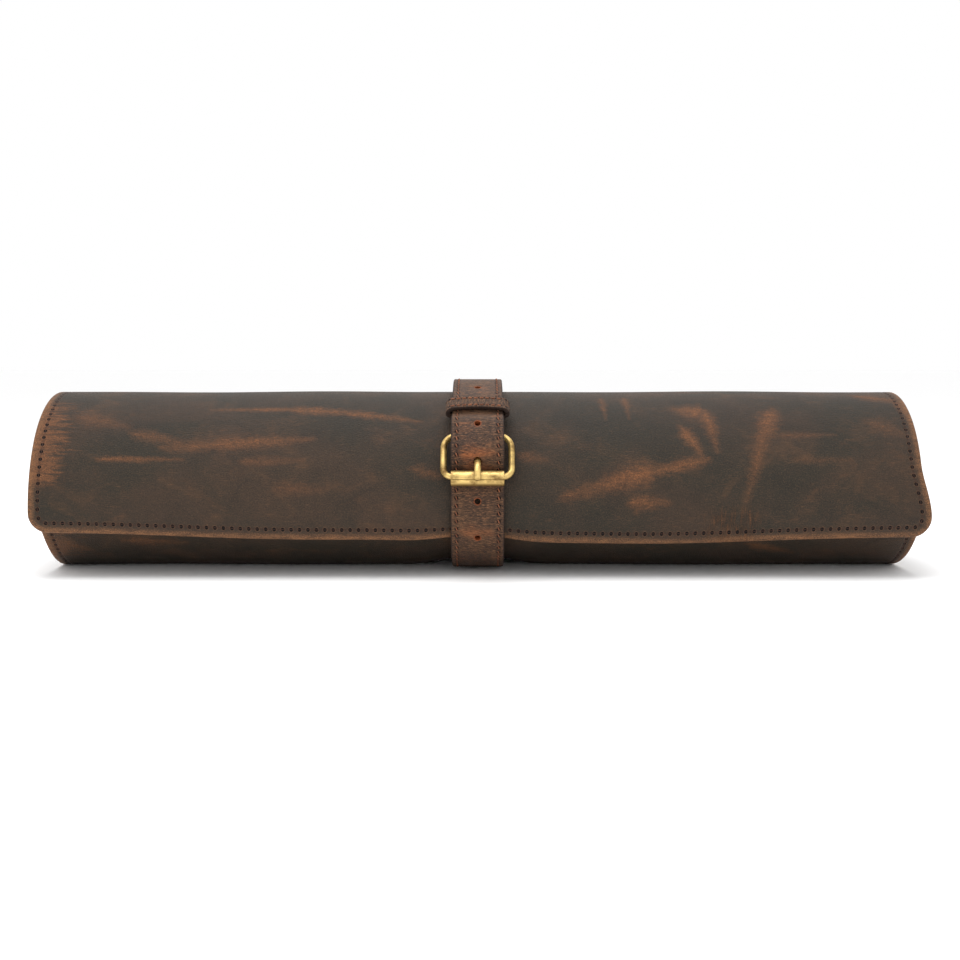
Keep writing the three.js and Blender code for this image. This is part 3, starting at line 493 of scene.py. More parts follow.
taper = made.times(made.step(share, -0.12, 0.18), made.step(share, 1.2, 0.3))
width_here = made.times(given["Width"], made.math("MULTIPLY_ADD", taper, 0.6, 0.4))
relative = made.math("DIVIDE", away, width_here)
frayed = made.plus(relative, made.times(made.minus(given["Fray"], 0.5), 5.0))
stroke = made.times(made.step(frayed, 1.8, -0.7), given["Strength"])
stroke = made.times(stroke, made.math("MULTIPLY_ADD", taper, 0.65, 0.35))
made.link(made.math("MAXIMUM", given["So far"], stroke), result["Mask"])

# A seam: round holes at even steps along a line, in a shallow groove.
seam_holes, made, given, result = start_group(
    "seam_holes",
    [
        ("Edge", "Vector", (0, 0, 0)),
        ("Inset", "Float", 5.0),
        ("Pitch", "Float", 4.0),
        ("Radius", "Float", 1.0),
    ],
    ["Hole", "Groove"],
)
parts = made.split(given["Edge"])
off_line = made.minus(parts[0], given["Inset"])
half_pitch = made.times(given["Pitch"], 0.5)
to_hole = made.math("PINGPONG", made.plus(parts[1], half_pitch), half_pitch)
away = made.math("SQRT", made.plus(made.times(to_hole, to_hole), made.times(off_line, off_line)))
outside = made.times(given["Radius"], 1.15)
made.link(made.step(away, outside, made.times(given["Radius"], 0.75)), result["Hole"])
made.link(made.step(made.math("ABSOLUTE", off_line), 1.1, 0.2), result["Groove"])


def lay_strokes(shader, rows, where, fray):
    """One mask of many scuffs. A row is X and run at both ends, the half width and the strength."""
    strokes = 0.0
    for start, end, width, strength in rows:
        ends = {"From": (*start, 0), "To": (*end, 0)}
        look = {"Width": width, "Fray": fray, "Strength": strength}
        strokes = shader.group(scuff_stroke, "Mask", So_far=strokes, Where=where, **ends, **look)
    return strokes


# Where the wax has moved: X and arc length of both ends of a stroke, its half width and its strength.
SCUFFS = [
    ((-96, 70.5), (-138, 69.5), 1.9, 0.85),
    ((-98, 70), (-58, 66.5), 3.3, 0.95),
    ((-72, 67.5), (-30, 60), 2.6, 0.9),
    ((-160, 43.5), (-112, 45.5), 2.8, 0.65),
    ((-138, 45), (-84, 49), 3.6, 0.86),
    ((-192, 37), (-148, 37), 1.6, 0.86),
    ((-176, 52), (-145, 45), 3.3, 0.6),
    ((-102, 24), (-76, 23), 3.1, 0.39),
    ((-120, 36), (-88, 37.5), 2.2, 0.52),
    ((-34, 33), (-18, 29), 2.8, 0.52),
    ((20, 40), (33, 38), 2.7, 0.47),
    ((40, 20), (70, 29), 2.8, 0.6),
    ((88, 33), (54, 24), 4.9, 1.1),
    ((114, 38), (74, 29.5), 3.0, 0.95),
    ((74, 18.5), (94, 18.5), 3.1, 0.86),
    ((114, 67.5), (100, 71), 5.2, 1.05),
    ((115, 69), (119, 43), 3.6, 0.9),
    ((102, 56), (112, 39), 3.2, 1.0),
    ((150, 69), (138, 38), 5.0, 0.9),
    ((143, 52), (133, 19), 3.4, 0.65),
    ((63, 82), (64, 62), 2.0, 0.6),
    ((75, 84), (76, 62), 2.0, 0.6),
    ((150, 51), (180, 51), 1.9, 0.43),
    ((156, 37.5), (186, 37), 1.9, 0.34),
    ((48, 21.5), (70, 25), 2.5, 0.52),
    ((-206, 64), (-178, 56), 4.3, 0.52),
    ((196, 88), (222, 76), 3.9, 0.77),
    ((214, 84), (220, 58), 2.7, 0.69),
    ((196, 60), (216, 50), 4.7, 0.39),
    ((-182, 314), (-150, 312), 3.3, 0.65),
    ((138, 311), (162, 302), 3.4, 0.69),
    ((-220, 316), (-200, 304), 4.7, 0.6),
    ((-60, 262), (-10, 250), 3.1, 0.69),
    ((-190, 150), (-120, 158), 3.9, 0.69),
    ((60, 140), (110, 128), 3.1, 0.77),
    ((120, 190), (190, 196), 3.6, 0.6),
    ((-150, 205), (-90, 200), 2.7, 0.69),
    ((160, 118), (176, 140), 3.4, 0.69),
]

oiled_leather, made, surface = start_material("oiled_leather", Specular_IOR_Level=0.22, IOR=1.45)
where, edge = made.map_mm("panel"), made.map_mm("edge")
from_middle, arc, _ = made.split(where)
to_edge_mm = made.split(edge)[0]
crease = made.group(leather_grain, "Crease", Where=where, Pebble=1.1)
grain = made.group(leather_grain, "Height", Where=where, Pebble=1.1)
broad = made.noise(made.scaled(where, 1.0, 1.5), 0.016, 4.0, 0.55, 0.6)
smoke = made.noise(made.scaled(where, 1.0, 1.3), 0.045, 5.0, 0.62, 0.8)
fine = made.noise(made.scaled(where, 0.7, 1.3), 0.55, 7.0, 0.85)
fray = made.noise(made.scaled(where, 0.55, 1.3), 0.36, 7.0, 0.85)
streaks = made.noise(made.scaled(where, 0.075, 0.62), 0.9, 5.0, 0.7, 0.2)
speck = made.noise(made.scaled(where, 0.8, 1.2), 1.7, 3.0, 0.7)
hairs = made.noise(made.scaled(where, 0.16, 1.4), 1.4, 3.0, 0.65, 0.5)
rubbed = made.group(pull_up, "Mask", Where=where, Size=30.0, Stretch=2.0, Amount=0.46, Softness=0.2)
# Painted shade: a darker band where the front bends up to the top, which tones down the light that falls
# there.
shade_over_bend = made.band(arc, (34.0, 58.0), (92.0, 78.0))  # where the front bends up to the top
colour = made.layers(
    made.mix(made.step(broad, 0.36, 0.64), paint(45, 41, 34), paint(58, 46, 37)),
    (made.step(smoke, 0.50, 0.30), 0.4, (36, 33, 29)),
    (made.step(smoke, 0.52, 0.74), 0.45, (84, 60, 42)),
    (made.step(fine, 0.50, 0.72), 0.5, (88, 67, 49)),
    (made.step(fine, 0.46, 0.28), 0.5, (26, 23, 20)),
    (made.step(speck, 0.50, 0.68), 0.35, (98, 76, 57)),
    (made.step(speck, 0.48, 0.32), 0.45, (22, 19, 17)),
    # painted shade over the bend
    (shade_over_bend, 0.22, (24, 22, 19)),
    (made.times(rubbed, made.step(fray, 0.40, 0.64)), 0.38, (112, 75, 49)),
    (made.times(made.step(hairs, 0.56, 0.66), made.step(smoke, 0.40, 0.62)), 0.22, (118, 84, 58)),
)

# The left end was bent over an edge: fine parallel streaks that thin out away from it.
from_left_end = made.plus(from_middle, PANEL_LENGTH / 2)
streak_limit = made.math("MULTIPLY_ADD", made.step(from_left_end, 2.0, 34.0), 0.40, 0.29)
streak_limit = made.minus(streak_limit, made.times(made.minus(smoke, 0.5), 0.5))
low_band = made.times(made.step(arc, 296.0, 302.0), 0.6)
streak_place = made.plus(made.band(arc, (20.0, 27.0), (82.0, 70.0)), low_band)
streak_mask = made.times(made.step(made.minus(streaks, streak_limit), -0.03, 0.20), streak_place)
strokes = made.math("MAXIMUM", lay_strokes(made, SCUFFS, where, fray), made.times(streak_mask, 0.75))

# Fine upright creases over the flap's seam, where the panel has been folded.
fold_lines = made.noise(made.scaled(where, 1.0, 0.12), 1.0, 4.0, 0.68, 0.2)
fold_place = made.times(made.step(arc, 21.0, 9.0), made.band(from_middle, (108.0, 120.0), (146.0, 132.0)))
fold_mask = made.times(made.step(fold_lines, 0.46, 0.66), fold_place)
strokes = made.math("MAXIMUM", strokes, made.times(fold_mask, 0.5))

broken = made.math("MULTIPLY_ADD", made.step(speck, 0.36, 0.60), 0.45, 0.60)
worn = made.times(strokes, made.minus(broken, made.times(crease, 0.35)), clamp=True)
tan = made.mix(made.step(fine, 0.3, 0.7), paint(98, 64, 42), paint(152, 98, 62))
border_reach = made.plus(made.times(fray, 3.0), made.times(broad, 3.0))
border = made.step(made.plus(to_edge_mm, border_reach), 7.5, 4.3)
border_wear = made.step(made.plus(made.times(fray, 0.6), made.times(streaks, 0.4)), 0.40, 0.62)
flecks = made.step(made.plus(speck, made.times(fray, 0.5)), 0.72, 0.90)
dull = made.step(made.plus(speck, made.times(smoke, 0.6)), 0.78, 0.60)
rim = made.step(made.plus(to_edge_mm, made.times(fray, 2.0)), 2.4, 0.8)
panel_seam = {"Edge": edge, "Inset": PANEL_STITCH_INSET, "Pitch": PANEL_STITCH_PITCH}
holes = made.group(seam_holes, "Hole", **panel_seam, Radius=0.92)
colour = made.layers(
    made.mix(worn, colour, tan),
    (border, 0.55, (86, 62, 46)),
    (made.times(border, border_wear), 0.62, (140, 98, 66)),
    (made.times(border, flecks), 0.55, (158, 108, 70)),
    (made.times(border, dull), 0.5, (58, 42, 33)),
    (rim, 0.35, (124, 90, 64)),
    # Painted shadow: the seam's groove is darkened.
    (made.group(seam_holes, "Groove", **panel_seam), 0.35, (58, 36, 28)),
    # Painted highlight: a paler ring round each stitch hole.
    (made.group(seam_holes, "Hole", **panel_seam, Radius=1.3), 0.24, (142, 102, 76)),
    # Painted shade: the stitch holes are painted near black.
    (holes, 1.0, (3, 2, 2)),
)
relief = made.plus(made.times(grain, 0.45), made.times(fine, 1.5))
relief = made.minus(relief, made.plus(made.times(fold_mask, 1.5), made.times(holes, 4.0)))
made.dress(surface, colour, (0.54, 0.12, made.plus(strokes, fine)), relief, 0.00028)
panel.data.materials.append(oiled_leather)
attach(panel, "root")
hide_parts("shell")


# Panel seam: waxed brown thread, lockstitched all round 5.2 mm from the edge and drawn down into the
# leather, so that only a short arc shows between two holes. On the inner face it is thicker and tan.
PANEL_THREAD = 0.24  # radius
PANEL_THREAD_DEPTH = 0.28
PANEL_THREAD_INSIDE = 0.3
PANEL_STITCH_LENGTH = 2.5
INSIDE_STITCH_LENGTH = 3.4


def make_stitches(name, lines, length, radius, slant=0.0):
    """One mesh of many short threads, each bowed up in the middle and sunk at both ends.
    A line of stitches is their centres, their directions and what points out of the leather there."""
    centres, alongs, normals = (np.concatenate(part) for part in zip(*lines))
    rings, sides = 7, 6
    t = np.linspace(-1, 1, rings)
    turn = np.arange(sides) * 2 * math.pi / sides
    girth = radius * np.sqrt(np.maximum(0.08, 1 - t**4))
    run = t[:, None] * length / 2 + 0 * turn
    lift = (0.7 * radius * (1 - t**2) - 0.35 * radius)[:, None] + girth[:, None] * np.sin(turn)
    breadth = girth[:, None] * np.cos(turn) + slant * t[:, None] * length / 2
    own = np.stack([run, breadth, lift], -1).reshape(-1, 3)
    alongs = unit(alongs)
    normals = unit(normals - alongs * (normals * alongs).sum(1)[:, None])
    turned = np.stack([alongs, np.cross(normals, alongs), normals], 1)
    points = centres[:, None, :] + np.einsum("pk,skc->spc", own, turned)
    index = np.arange(rings * sides).reshape(rings, sides)
    quads = grid_faces(np.concatenate([index, index[:, :1]], 1))
    base = (np.arange(len(centres)) * rings * sides)[:, None, None]
    faces = (quads[None] + base).reshape(-1, 4).tolist()
    faces += (index[0][::-1][None] + base[:, 0]).tolist() + (index[-1][None] + base[:, 0]).tolist()
    return add_mesh(name, points, faces)


def line_on_panel(lengths, xs, depth, out):
    """A line of stitches at a depth in the panel, with the way out of the leather as +1 or -1 in depth."""
    here = on_panel(lengths, xs, depth)
    ahead = on_panel(lengths + np.gradient(lengths) * 0.5, xs + np.gradient(xs) * 0.5, depth)
    return here, ahead - here, on_panel(lengths, xs, depth + out) - here


def panel_seam_line(runs):
    """Arc length and X on the seam, by the distance along it from the left corner."""
    lengths, xs = [], []
    for run in runs:
        mirrored = run > quarter + edge_run / 2
        own = 2 * quarter + edge_run - run if mirrored else run
        if own < 0:
            s, inset = CORNER_RADIUS - own, PANEL_STITCH_INSET
        elif own < quarter:
            angle = own / seam_radius
            s = CORNER_RADIUS - seam_radius * math.sin(angle)
            inset = CORNER_RADIUS - seam_radius * math.cos(angle)
        else:
            s, inset = PANEL_STITCH_INSET, own - quarter + CORNER_RADIUS
        set_in = read_table(RIGHT_SETBACK if mirrored else LEFT_SETBACK, np.array(s))
        lengths.append(s)
        xs.append((1 if mirrored else -1) * (half_here - inset - float(set_in)))
    return np.array(lengths), np.array(xs)


end_run = PANEL_WIDTH - PANEL_STITCH_INSET - CORNER_RADIUS
whole_run = 2 * quarter + edge_run + end_run
seam_runs = np.arange(-int(end_run / PANEL_STITCH_PITCH), int(whole_run / PANEL_STITCH_PITCH))
seam_lengths, seam_xs = panel_seam_line((seam_runs + 0.5) * PANEL_STITCH_PITCH)
outer_line = line_on_panel(seam_lengths, seam_xs, PANEL_THREAD_DEPTH, -1.0)
inner_line = line_on_panel(seam_lengths, seam_xs, HEM_THICKNESS - 0.1, 1.0)
panel_thread = make_stitches("panel_thread", [outer_line], PANEL_STITCH_LENGTH, PANEL_THREAD)
inner_thread = make_stitches("panel_thread_inside", [inner_line], INSIDE_STITCH_LENGTH, PANEL_THREAD_INSIDE)

twisted_cord, made, given, result = start_group(
    "twisted_cord", [("Where", "Vector", (0, 0, 0)), ("Pitch", "Float", 0.6)], ["Height"]
)
parts = made.split(given["Where"])
slanted = made.plus(made.plus(parts[0], parts[1]), parts[2])
twist = made.math("SINE", made.math("DIVIDE", made.times(slanted, 2 * math.pi), given["Pitch"]))
made.link(made.math("MULTIPLY_ADD", twist, 0.5, 0.5), result["Height"])


def make_thread_material(name, dark, light):
    material, shader, surface = start_material(name, Specular_IOR_Level=0.3)
    where = shader.place_mm()
    twist = shader.group(twisted_cord, "Height", Where=where, Pitch=0.55)
    worn = shader.noise(where, 0.2, 3.0)
    share = shader.times(twist, shader.step(worn, 0.3, 0.7))
    shader.dress(surface, shader.mix(share, dark, light), (0.6, 0.2, worn), twist, 0.0001)
    return material


waxed_thread = make_thread_material("waxed_thread", paint(38, 23, 18), paint(86, 54, 41))
tan_thread = make_thread_material("tan_thread", paint(128, 74, 36), paint(196, 128, 72))
panel_thread.data.materials.append(waxed_thread)
inner_thread.data.materials.append(tan_thread)
for thread in (panel_thread, inner_thread):
    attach(thread, "root")


# Suede lining: a thin pigskin sheet, 1.2 mm, laid inside the turned edges of the panel and sewn to it.
# A window is cut in it for the zip, near the panel's inner edge.
LINING = 1.2
INSIDE_HEM = 7.9
LINING_NEAR = LEATHER + GAP
LINING_FAR = LINING_NEAR + LINING
RAW_EDGE_ROUND = 0.35
ZIP_AT = 421.0
ZIP_WINDOW = 11.0
ZIP_LENGTH = 345.0
ZIP_MIDDLE = -1.0


def left_inside(length):
    return read_table(LEFT_SETBACK, length) - half_here + INSIDE_HEM


def right_inside(length):
    return half_here - read_table(RIGHT_SETBACK, length) - INSIDE_HEM


SHEET_OFFSETS = (0.0, 0.2, 0.6, 1.5, 3.0)


def make_inner_sheet(name, lengths, low_end, high_end, seat, thick, step=3.5, column_step=4.0):
    """A sheet sewn inside the panel. low_end and high_end give its ends in X, seat its least depth."""
    rows = spread(*lengths, step, SHEET_OFFSETS)[:, None]
    low, high = low_end(rows) + 0 * rows, high_end(rows) + 0 * rows
    shares = spread(0.0, float((high - low)[0, 0]), column_step, SHEET_OFFSETS)[None]
    shares = shares / shares[0, -1]
    x = low + (high - low) * shares
    to_edge = np.minimum(np.minimum(x - low, high - x), np.minimum(rows - lengths[0], lengths[1] - rows))
    round_off = fillet(to_edge, RAW_EDGE_ROUND)
    faces = [on_panel(rows, x, depth) for depth in (seat(rows) + round_off, seat(rows) + thick - round_off)]
    edge_pairs = np.stack([to_edge, x + rows], -1)
    return make_skin(name, *faces, np.stack(np.broadcast_arrays(x, rows), -1), edge_pairs)


def plane_at(length):
    """The plane that touches the panel's outer face: X along the roll, Z inwards."""
    on = on_panel(length, 0.0, 0.0)
    into = on_panel(length, 0.0, 1.0) - on
    into = Vector(into / np.linalg.norm(into))
    x = Vector((1, 0, 0))
    y = into.cross(x)
    return Matrix((x, y, into)).transposed().to_4x4(), Vector(on)


def in_plane(plane, points):
    """Points (X, across, depth) in such a plane, as an array in the roll's own millimetres."""
    turned, origin = plane
    return np.asarray(points) @ np.array(turned.to_3x3()).T + np.array(origin)


def cut_out(piece, cutter):
    """Takes the cutter away from the piece for good."""
    modifier = piece.modifiers.new("cut", "BOOLEAN")
    modifier.operation = "DIFFERENCE"
    modifier.solver = "EXACT"
    modifier.material_mode = "TRANSFER"
    modifier.object = cutter
    bpy.context.view_layer.update()
    mesh = bpy.data.meshes.new_from_object(piece.evaluated_get(bpy.context.evaluated_depsgraph_get()))
    piece.modifiers.clear()
    piece.data = mesh
    bpy.data.objects.remove(cutter)


BLOCK_FACES = [(0, 1, 3, 2), (4, 6, 7, 5), (0, 4, 5, 1), (2, 3, 7, 6), (0, 2, 6, 4), (1, 5, 7, 3)]


def block_corners(xs, widths, depths):
    return np.array([(a, b, c) for a in xs for b in widths for c in depths])


def make_block(name, plane, width, xs, depths):
    corners = block_corners(xs, (-width / 2, width / 2), depths)
    return add_mesh(name, in_plane(plane, corners), BLOCK_FACES, smooth_faces=False)


suede_nap, made, given, result = start_group(
    "suede_nap", [("Where", "Vector", (0, 0, 0)), ("Length", "Float", 0.8)], ["Height", "Brushed"]
)
fibre_scale = made.math("DIVIDE", 1.0, given["Length"])
fibres = made.noise(made.scaled(given["Where"], 1.0, 2.2), fibre_scale, 4.0, 0.7, 0.3)
brushed = made.noise(made.scaled(given["Where"], 1.0, 0.5), 0.045, 4.0, 0.6, 0.8)
made.link(fibres, result["Height"])
made.link(made.step(brushed, 0.35, 0.65), result["Brushed"])

suede, made, surface = start_material(
    "suede", Specular_IOR_Level=0.12, Sheen_Weight=0.35, Sheen_Roughness=0.45
)
where = made.map_mm("panel")
nap = made.group(suede_nap, "Height", Where=where, Length=0.7)
brushed = made.group(suede_nap, "Brushed", Where=where, Length=0.7)
colour = made.mix(brushed, paint(54, 33, 34), paint(82, 48, 42))
colour = made.layers(colour, (nap, 0.4, (96, 62, 52)))
made.dress(surface, colour, (0.85, 0.12, nap), nap, 0.00025)

lining_lengths = (INSIDE_HEM, PANEL_WIDTH - INSIDE_HEM)
lining = make_inner_sheet(
    "suede_lining", lining_lengths, left_inside, right_inside, lambda rows: LINING_NEAR, LINING
)
zip_plane = plane_at(ZIP_AT)
zip_low = ZIP_MIDDLE - ZIP_LENGTH / 2
zip_high = ZIP_MIDDLE + ZIP_LENGTH / 2
cut_out(lining, make_block("zip_window", zip_plane, ZIP_WINDOW, (zip_low, zip_high), (0.0, 2 * LINING_FAR)))
lining.data.materials.clear()
lining.data.materials.append(suede)
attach(lining, "root")
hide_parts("lining")


# Knife pockets and the flap over the handles: suede, 1.3 mm, sewn to the lining. Three seams across the
# pockets divide them, and the flap is sewn in at the left end only.
POCKET_SUEDE = 1.3
POCKET_MOUTH = -16.0
POCKET_END = 362.0
HANDLE_FLAP_EDGE = -24.0
HEM_STRIP_WIDTH = 12.0
POCKET_SEAMS = (51.0, 128.0, 249.0)
MOUTH_SEAM_INSET = 3.0
POCKET_NEAR = LINING_FAR + GAP
POCKET_FAR = POCKET_NEAR + POCKET_SUEDE

pocket_lengths = (INSIDE_HEM, POCKET_END)
pockets = make_inner_sheet(
    "suede_pockets",
    pocket_lengths,
    lambda rows: POCKET_MOUTH,
    lambda rows: right_inside(rows) - HEM_STRIP_WIDTH / 2,
    lambda rows: POCKET_NEAR,
    POCKET_SUEDE,
)
handle_flap = make_inner_sheet(
    "suede_handle_flap",
    pocket_lengths,
    left_inside,
    lambda rows: HANDLE_FLAP_EDGE,
    lambda rows: POCKET_NEAR,
    POCKET_SUEDE,
)
for piece, node, low, high in (
    (pockets, "knife_pockets", POCKET_MOUTH, half_here - INSIDE_HEM - HEM_STRIP_WIDTH / 2),
    (handle_flap, "handle_flap", INSIDE_HEM - half_here, HANDLE_FLAP_EDGE),
):
    piece.data.materials.append(suede)
    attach(piece, "root")
    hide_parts(node)
    size = ((POCKET_END - INSIDE_HEM) / 1000, (high - low) / 1000)

seam_xs = np.arange(POCKET_MOUTH + 4, half_here - INSIDE_HEM - HEM_STRIP_WIDTH - 4, PANEL_STITCH_PITCH)
pocket_lines = []
for seam_at in POCKET_SEAMS:
    here = on_panel(seam_at, seam_xs, POCKET_FAR + 0.1)
    over = on_panel(seam_at, seam_xs, POCKET_FAR + 1.0)
    pocket_lines.append((here, np.tile([1.0, 0.0, 0.0], (len(seam_xs), 1)), over - here))
mouth_lengths = np.arange(INSIDE_HEM + 5, POCKET_END - 4, PANEL_STITCH_PITCH)
here = on_panel(mouth_lengths, POCKET_MOUTH + MOUTH_SEAM_INSET, POCKET_FAR + 0.1)
over = on_panel(mouth_lengths, POCKET_MOUTH + MOUTH_SEAM_INSET, POCKET_FAR + 1.0)
ahead = on_panel(mouth_lengths + 1.0, POCKET_MOUTH + MOUTH_SEAM_INSET, POCKET_FAR + 0.1)
pocket_lines.append((here, ahead - here, over - here))
pocket_seams = make_stitches("pocket_thread", pocket_lines, PANEL_STITCH_LENGTH, PANEL_THREAD)
pocket_seams.data.materials.append(waxed_thread)
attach(pocket_seams, "root")


# Leather strips inside: one over the lower seam of the pockets and one that divides them from the zip
# pocket. Both are cut from the panel's leather, 1.4 mm, with raw edges, and sewn through.
TRIM = 1.4
DIVIDER_AT = 372.0
DIVIDER_WIDTH = 14.0
DIVIDER_SEAT = LINING_FAR + GAP + DIVIDER_WIDTH**2 / (8 * HALF_DEPTH) + GAP

trim_leather, made, surface = start_material("trim_leather", Specular_IOR_Level=0.4, IOR=1.45)
where = made.map_mm("panel")
crease = made.group(leather_grain, "Crease", Where=where, Pebble=1.3)
mottle = made.noise(where, 0.08, 4.0, 0.6)
rubbed = made.group(pull_up, "Mask", Where=where, Size=14.0, Stretch=0.6, Amount=0.5, Softness=0.18)
colour = made.mix(made.step(mottle, 0.35, 0.65), paint(70, 50, 42), paint(96, 68, 52))
colour = made.layers(colour, (rubbed, 0.5, (140, 92, 60)), (crease, 0.35, (40, 28, 24)))
made.dress(surface, colour, (0.52, 0.2, mottle), made.minus(mottle, crease), 0.0002)


def hem_seat(rows):
    drop = smooth((rows - POCKET_END - 1) / (POCKET_END / 40))
    return POCKET_FAR + GAP + (LINING_FAR - POCKET_FAR) * drop


hem_strip = make_inner_sheet(
    "hem_strip_leather",
    lining_lengths,
    lambda rows: right_inside(rows) - HEM_STRIP_WIDTH,
    right_inside,
    hem_seat,
    TRIM,
    step=2.5,
    column_step=1.5,
)


def make_flat_strip(name, plane, width, low, high, near, far, step=3.0, edge_round=0.35, slant=0.0):
    """A straight strip in a plane, with rounded edges. Its low end can be cut at a slant."""
    rows = spread(-width / 2, width / 2, 1.0, (0.0, 0.2, 0.5))[:, None]
    shares = spread(0.0, high - low, step, (0.0, 0.2, 0.5))[None] / (high - low)
    starts = low + slant * (rows / width + 0.5)
    x = starts + (high - starts) * shares
    to_edge = np.minimum(np.minimum(x - starts, high - x), width / 2 - np.abs(rows))
    round_off = fillet(to_edge, edge_round)
    x, across = np.broadcast_arrays(x, rows)
    depths = (near + round_off, far - round_off)
    faces = [in_plane(plane, np.stack([x, across, depth], -1)) for depth in depths]
    return make_skin(name, *faces, np.stack([x, across], -1), np.stack([to_edge, x + across], -1))


divider = make_flat_strip(
    "divider_strip_leather",
    plane_at(DIVIDER_AT),
    DIVIDER_WIDTH,
    float(left_inside(DIVIDER_AT)) + GAP,
    float(right_inside(DIVIDER_AT)) - HEM_STRIP_WIDTH - GAP,
    DIVIDER_SEAT,
    DIVIDER_SEAT + TRIM,
)
for piece, node, size in (
    (hem_strip, "hem_strip", (HEM_STRIP_WIDTH, PANEL_WIDTH - 2 * INSIDE_HEM)),
    (divider, "divider_strip", (DIVIDER_WIDTH, PANEL_LENGTH - 2 * INSIDE_HEM - HEM_STRIP_WIDTH)),
):
    piece.data.materials.append(trim_leather)
    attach(piece, "root")
    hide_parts(node)


# Zip: a dark woven tape under the window in the lining, a chain of small brass teeth, and a slider with a
# wire ring and a leather pull.
ZIP_TAPE = 0.8
ZIP_CHAIN_WIDTH = 6.0
ZIP_CHAIN_HEIGHT = 1.1
TOOTH_PITCH = 1.7
TAPE_SEAT = LEATHER + 2 * GAP
CHAIN_SEAT = TAPE_SEAT + ZIP_TAPE + GAP
CHAIN_TOP = CHAIN_SEAT + ZIP_CHAIN_HEIGHT
SLIDER_AT = 159.0
SLIDER_LENGTH = 11.0
PULL_LEATHER = 1.2
PULL_WIRE = 0.9
PULL_RING_WIDTH = 13.0
PULL_RING_LENGTH = 12.0
PULL_TAB_LENGTH = 48.0
PULL_TAB_WIDTH = 8.8
PULL_TAB_SLANT = 7.0
RING_DEPTH = CHAIN_TOP + GAP + PULL_LEATHER + GAP + PULL_WIRE
RING_AT = SLIDER_AT - SLIDER_LENGTH * 0.15
RING_END = RING_AT - PULL_RING_LENGTH + 2 * PULL_WIRE

woven_tape, made, surface = start_material("woven_tape", Specular_IOR_Level=0.15)
where = made.map_mm("panel")
herringbone = made.add(
    "ShaderNodeTexWave",
    ("Vector", where),
    ("Scale", 0.9),
    ("Distortion", 1.2),
    ("Detail", 2.0),
    output=1,
    bands_direction="DIAGONAL",
)
colour = made.mix(herringbone, paint(30, 26, 24), paint(54, 47, 42))
made.dress(surface, colour, (0.75, 0.15, herringbone), herringbone, 0.0002)

tape_width = ZIP_WINDOW - 2 * GAP
tape = make_flat_strip(
    "zip_tape_cloth",
    zip_plane,
    tape_width,
    zip_low + GAP,
    zip_high - GAP,
    TAPE_SEAT,
    TAPE_SEAT + ZIP_TAPE,
    edge_round=0.2,
)
tape.data.materials.append(woven_tape)
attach(tape, "root")
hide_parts("zip_tape")

LIT_SIDE = (0.0, -0.85, 0.53)  # painted shade: faces turned away from the front and the top are darkened, those facing them stay bright
antique_brass, made, surface = start_material(
    "antique_brass", Metallic=0.82, Coat_Weight=0.15, Coat_Roughness=0.3
)
where = made.place_mm()
cloud = made.noise(where, 0.16, 4.0, 0.6)
brushed = made.noise(made.scaled(where, 0.25, 3.0, 3.0), 1.1, 3.0, 0.7)
tarnish_and_shade = made.step(made.plus(cloud, made.times(brushed, 0.3)), 0.50, 0.88)
# Painted shade: faces turned away from the front and the top take the dark tone, on top of the cloudy
# tarnish.
facing = made.vector("DOT_PRODUCT", made.add("ShaderNodeNewGeometry", output=1), LIT_SIDE, output=1)
tarnish_and_shade = made.math("MAXIMUM", tarnish_and_shade, made.times(made.step(facing, 0.75, -0.05), 0.9))
colour = made.mix(tarnish_and_shade, paint(224, 192, 120), paint(116, 86, 42))
made.dress(surface, colour, (0.42, 0.16, tarnish_and_shade), brushed, 0.00003)

tooth_xs = np.arange(zip_low + 2.0, zip_high - 2.0, TOOTH_PITCH / 2)
tooth_sides = np.where(np.arange(len(tooth_xs)) % 2 == 0, -1.0, 1.0)
tooth = block_corners((-0.5, 0.5), (-1.0, 1.0), (0.0, 1.0))
tooth_size = np.array([TOOTH_PITCH * 0.55, ZIP_CHAIN_WIDTH * 0.33, ZIP_CHAIN_HEIGHT * 0.9])
slimmer = np.where(tooth[:, 2:] > 0.5, [0.7, 0.85, 1.0], 1.0)
tooth_depths = np.full(len(tooth_xs), CHAIN_SEAT + 0.05)
tooth_places = np.stack([tooth_xs, tooth_sides * ZIP_CHAIN_WIDTH * 0.16, tooth_depths], -1)
tooth_points = (tooth * slimmer * tooth_size + tooth_places[:, None]).reshape(-1, 3)
tooth_faces = (np.array(BLOCK_FACES) + len(tooth) * np.arange(len(tooth_xs))[:, None, None]).reshape(-1, 4)
teeth = add_mesh("zip_teeth", in_plane(zip_plane, tooth_points), tooth_faces.tolist(), smooth_faces=False)
teeth.data.materials.append(antique_brass)
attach(teeth, "root")
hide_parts("zip_chain")
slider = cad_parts["zip_slider"]
slider.data.materials.clear()
slider.data.materials.append(antique_brass)


def rounded_loop(half_width, from_x, to_x, from_corner, to_corner, segments, straight=6):
    """X and Y of a rounded rectangle, with its own corner radius at each end, as a closed line."""
    way = 1.0 if from_x > to_x else -1.0
    corners = [
        (from_x - way * from_corner, half_width - from_corner, from_corner, 0),
        (to_x + way * to_corner, half_width - to_corner, to_corner, 90),
        (to_x + way * to_corner, to_corner - half_width, to_corner, 180),
        (from_x - way * from_corner, from_corner - half_width, from_corner, 270),
    ]
    line = []
    for x, y, radius, start in corners:
        for k in range(segments + 1):
            turn = math.radians(start + 90 * k / segments)
            line.append((x + way * radius * math.cos(turn), y + radius * math.sin(turn)))
    points = []
    for k, point in enumerate(line):
        after = line[(k + 1) % len(line)]
        parts = straight if math.dist(point, after) > 2.0 else 1
        points += [tuple(a + (b - a) * j / parts for a, b in zip(point, after)) for j in range(parts)]
    return np.array(points)


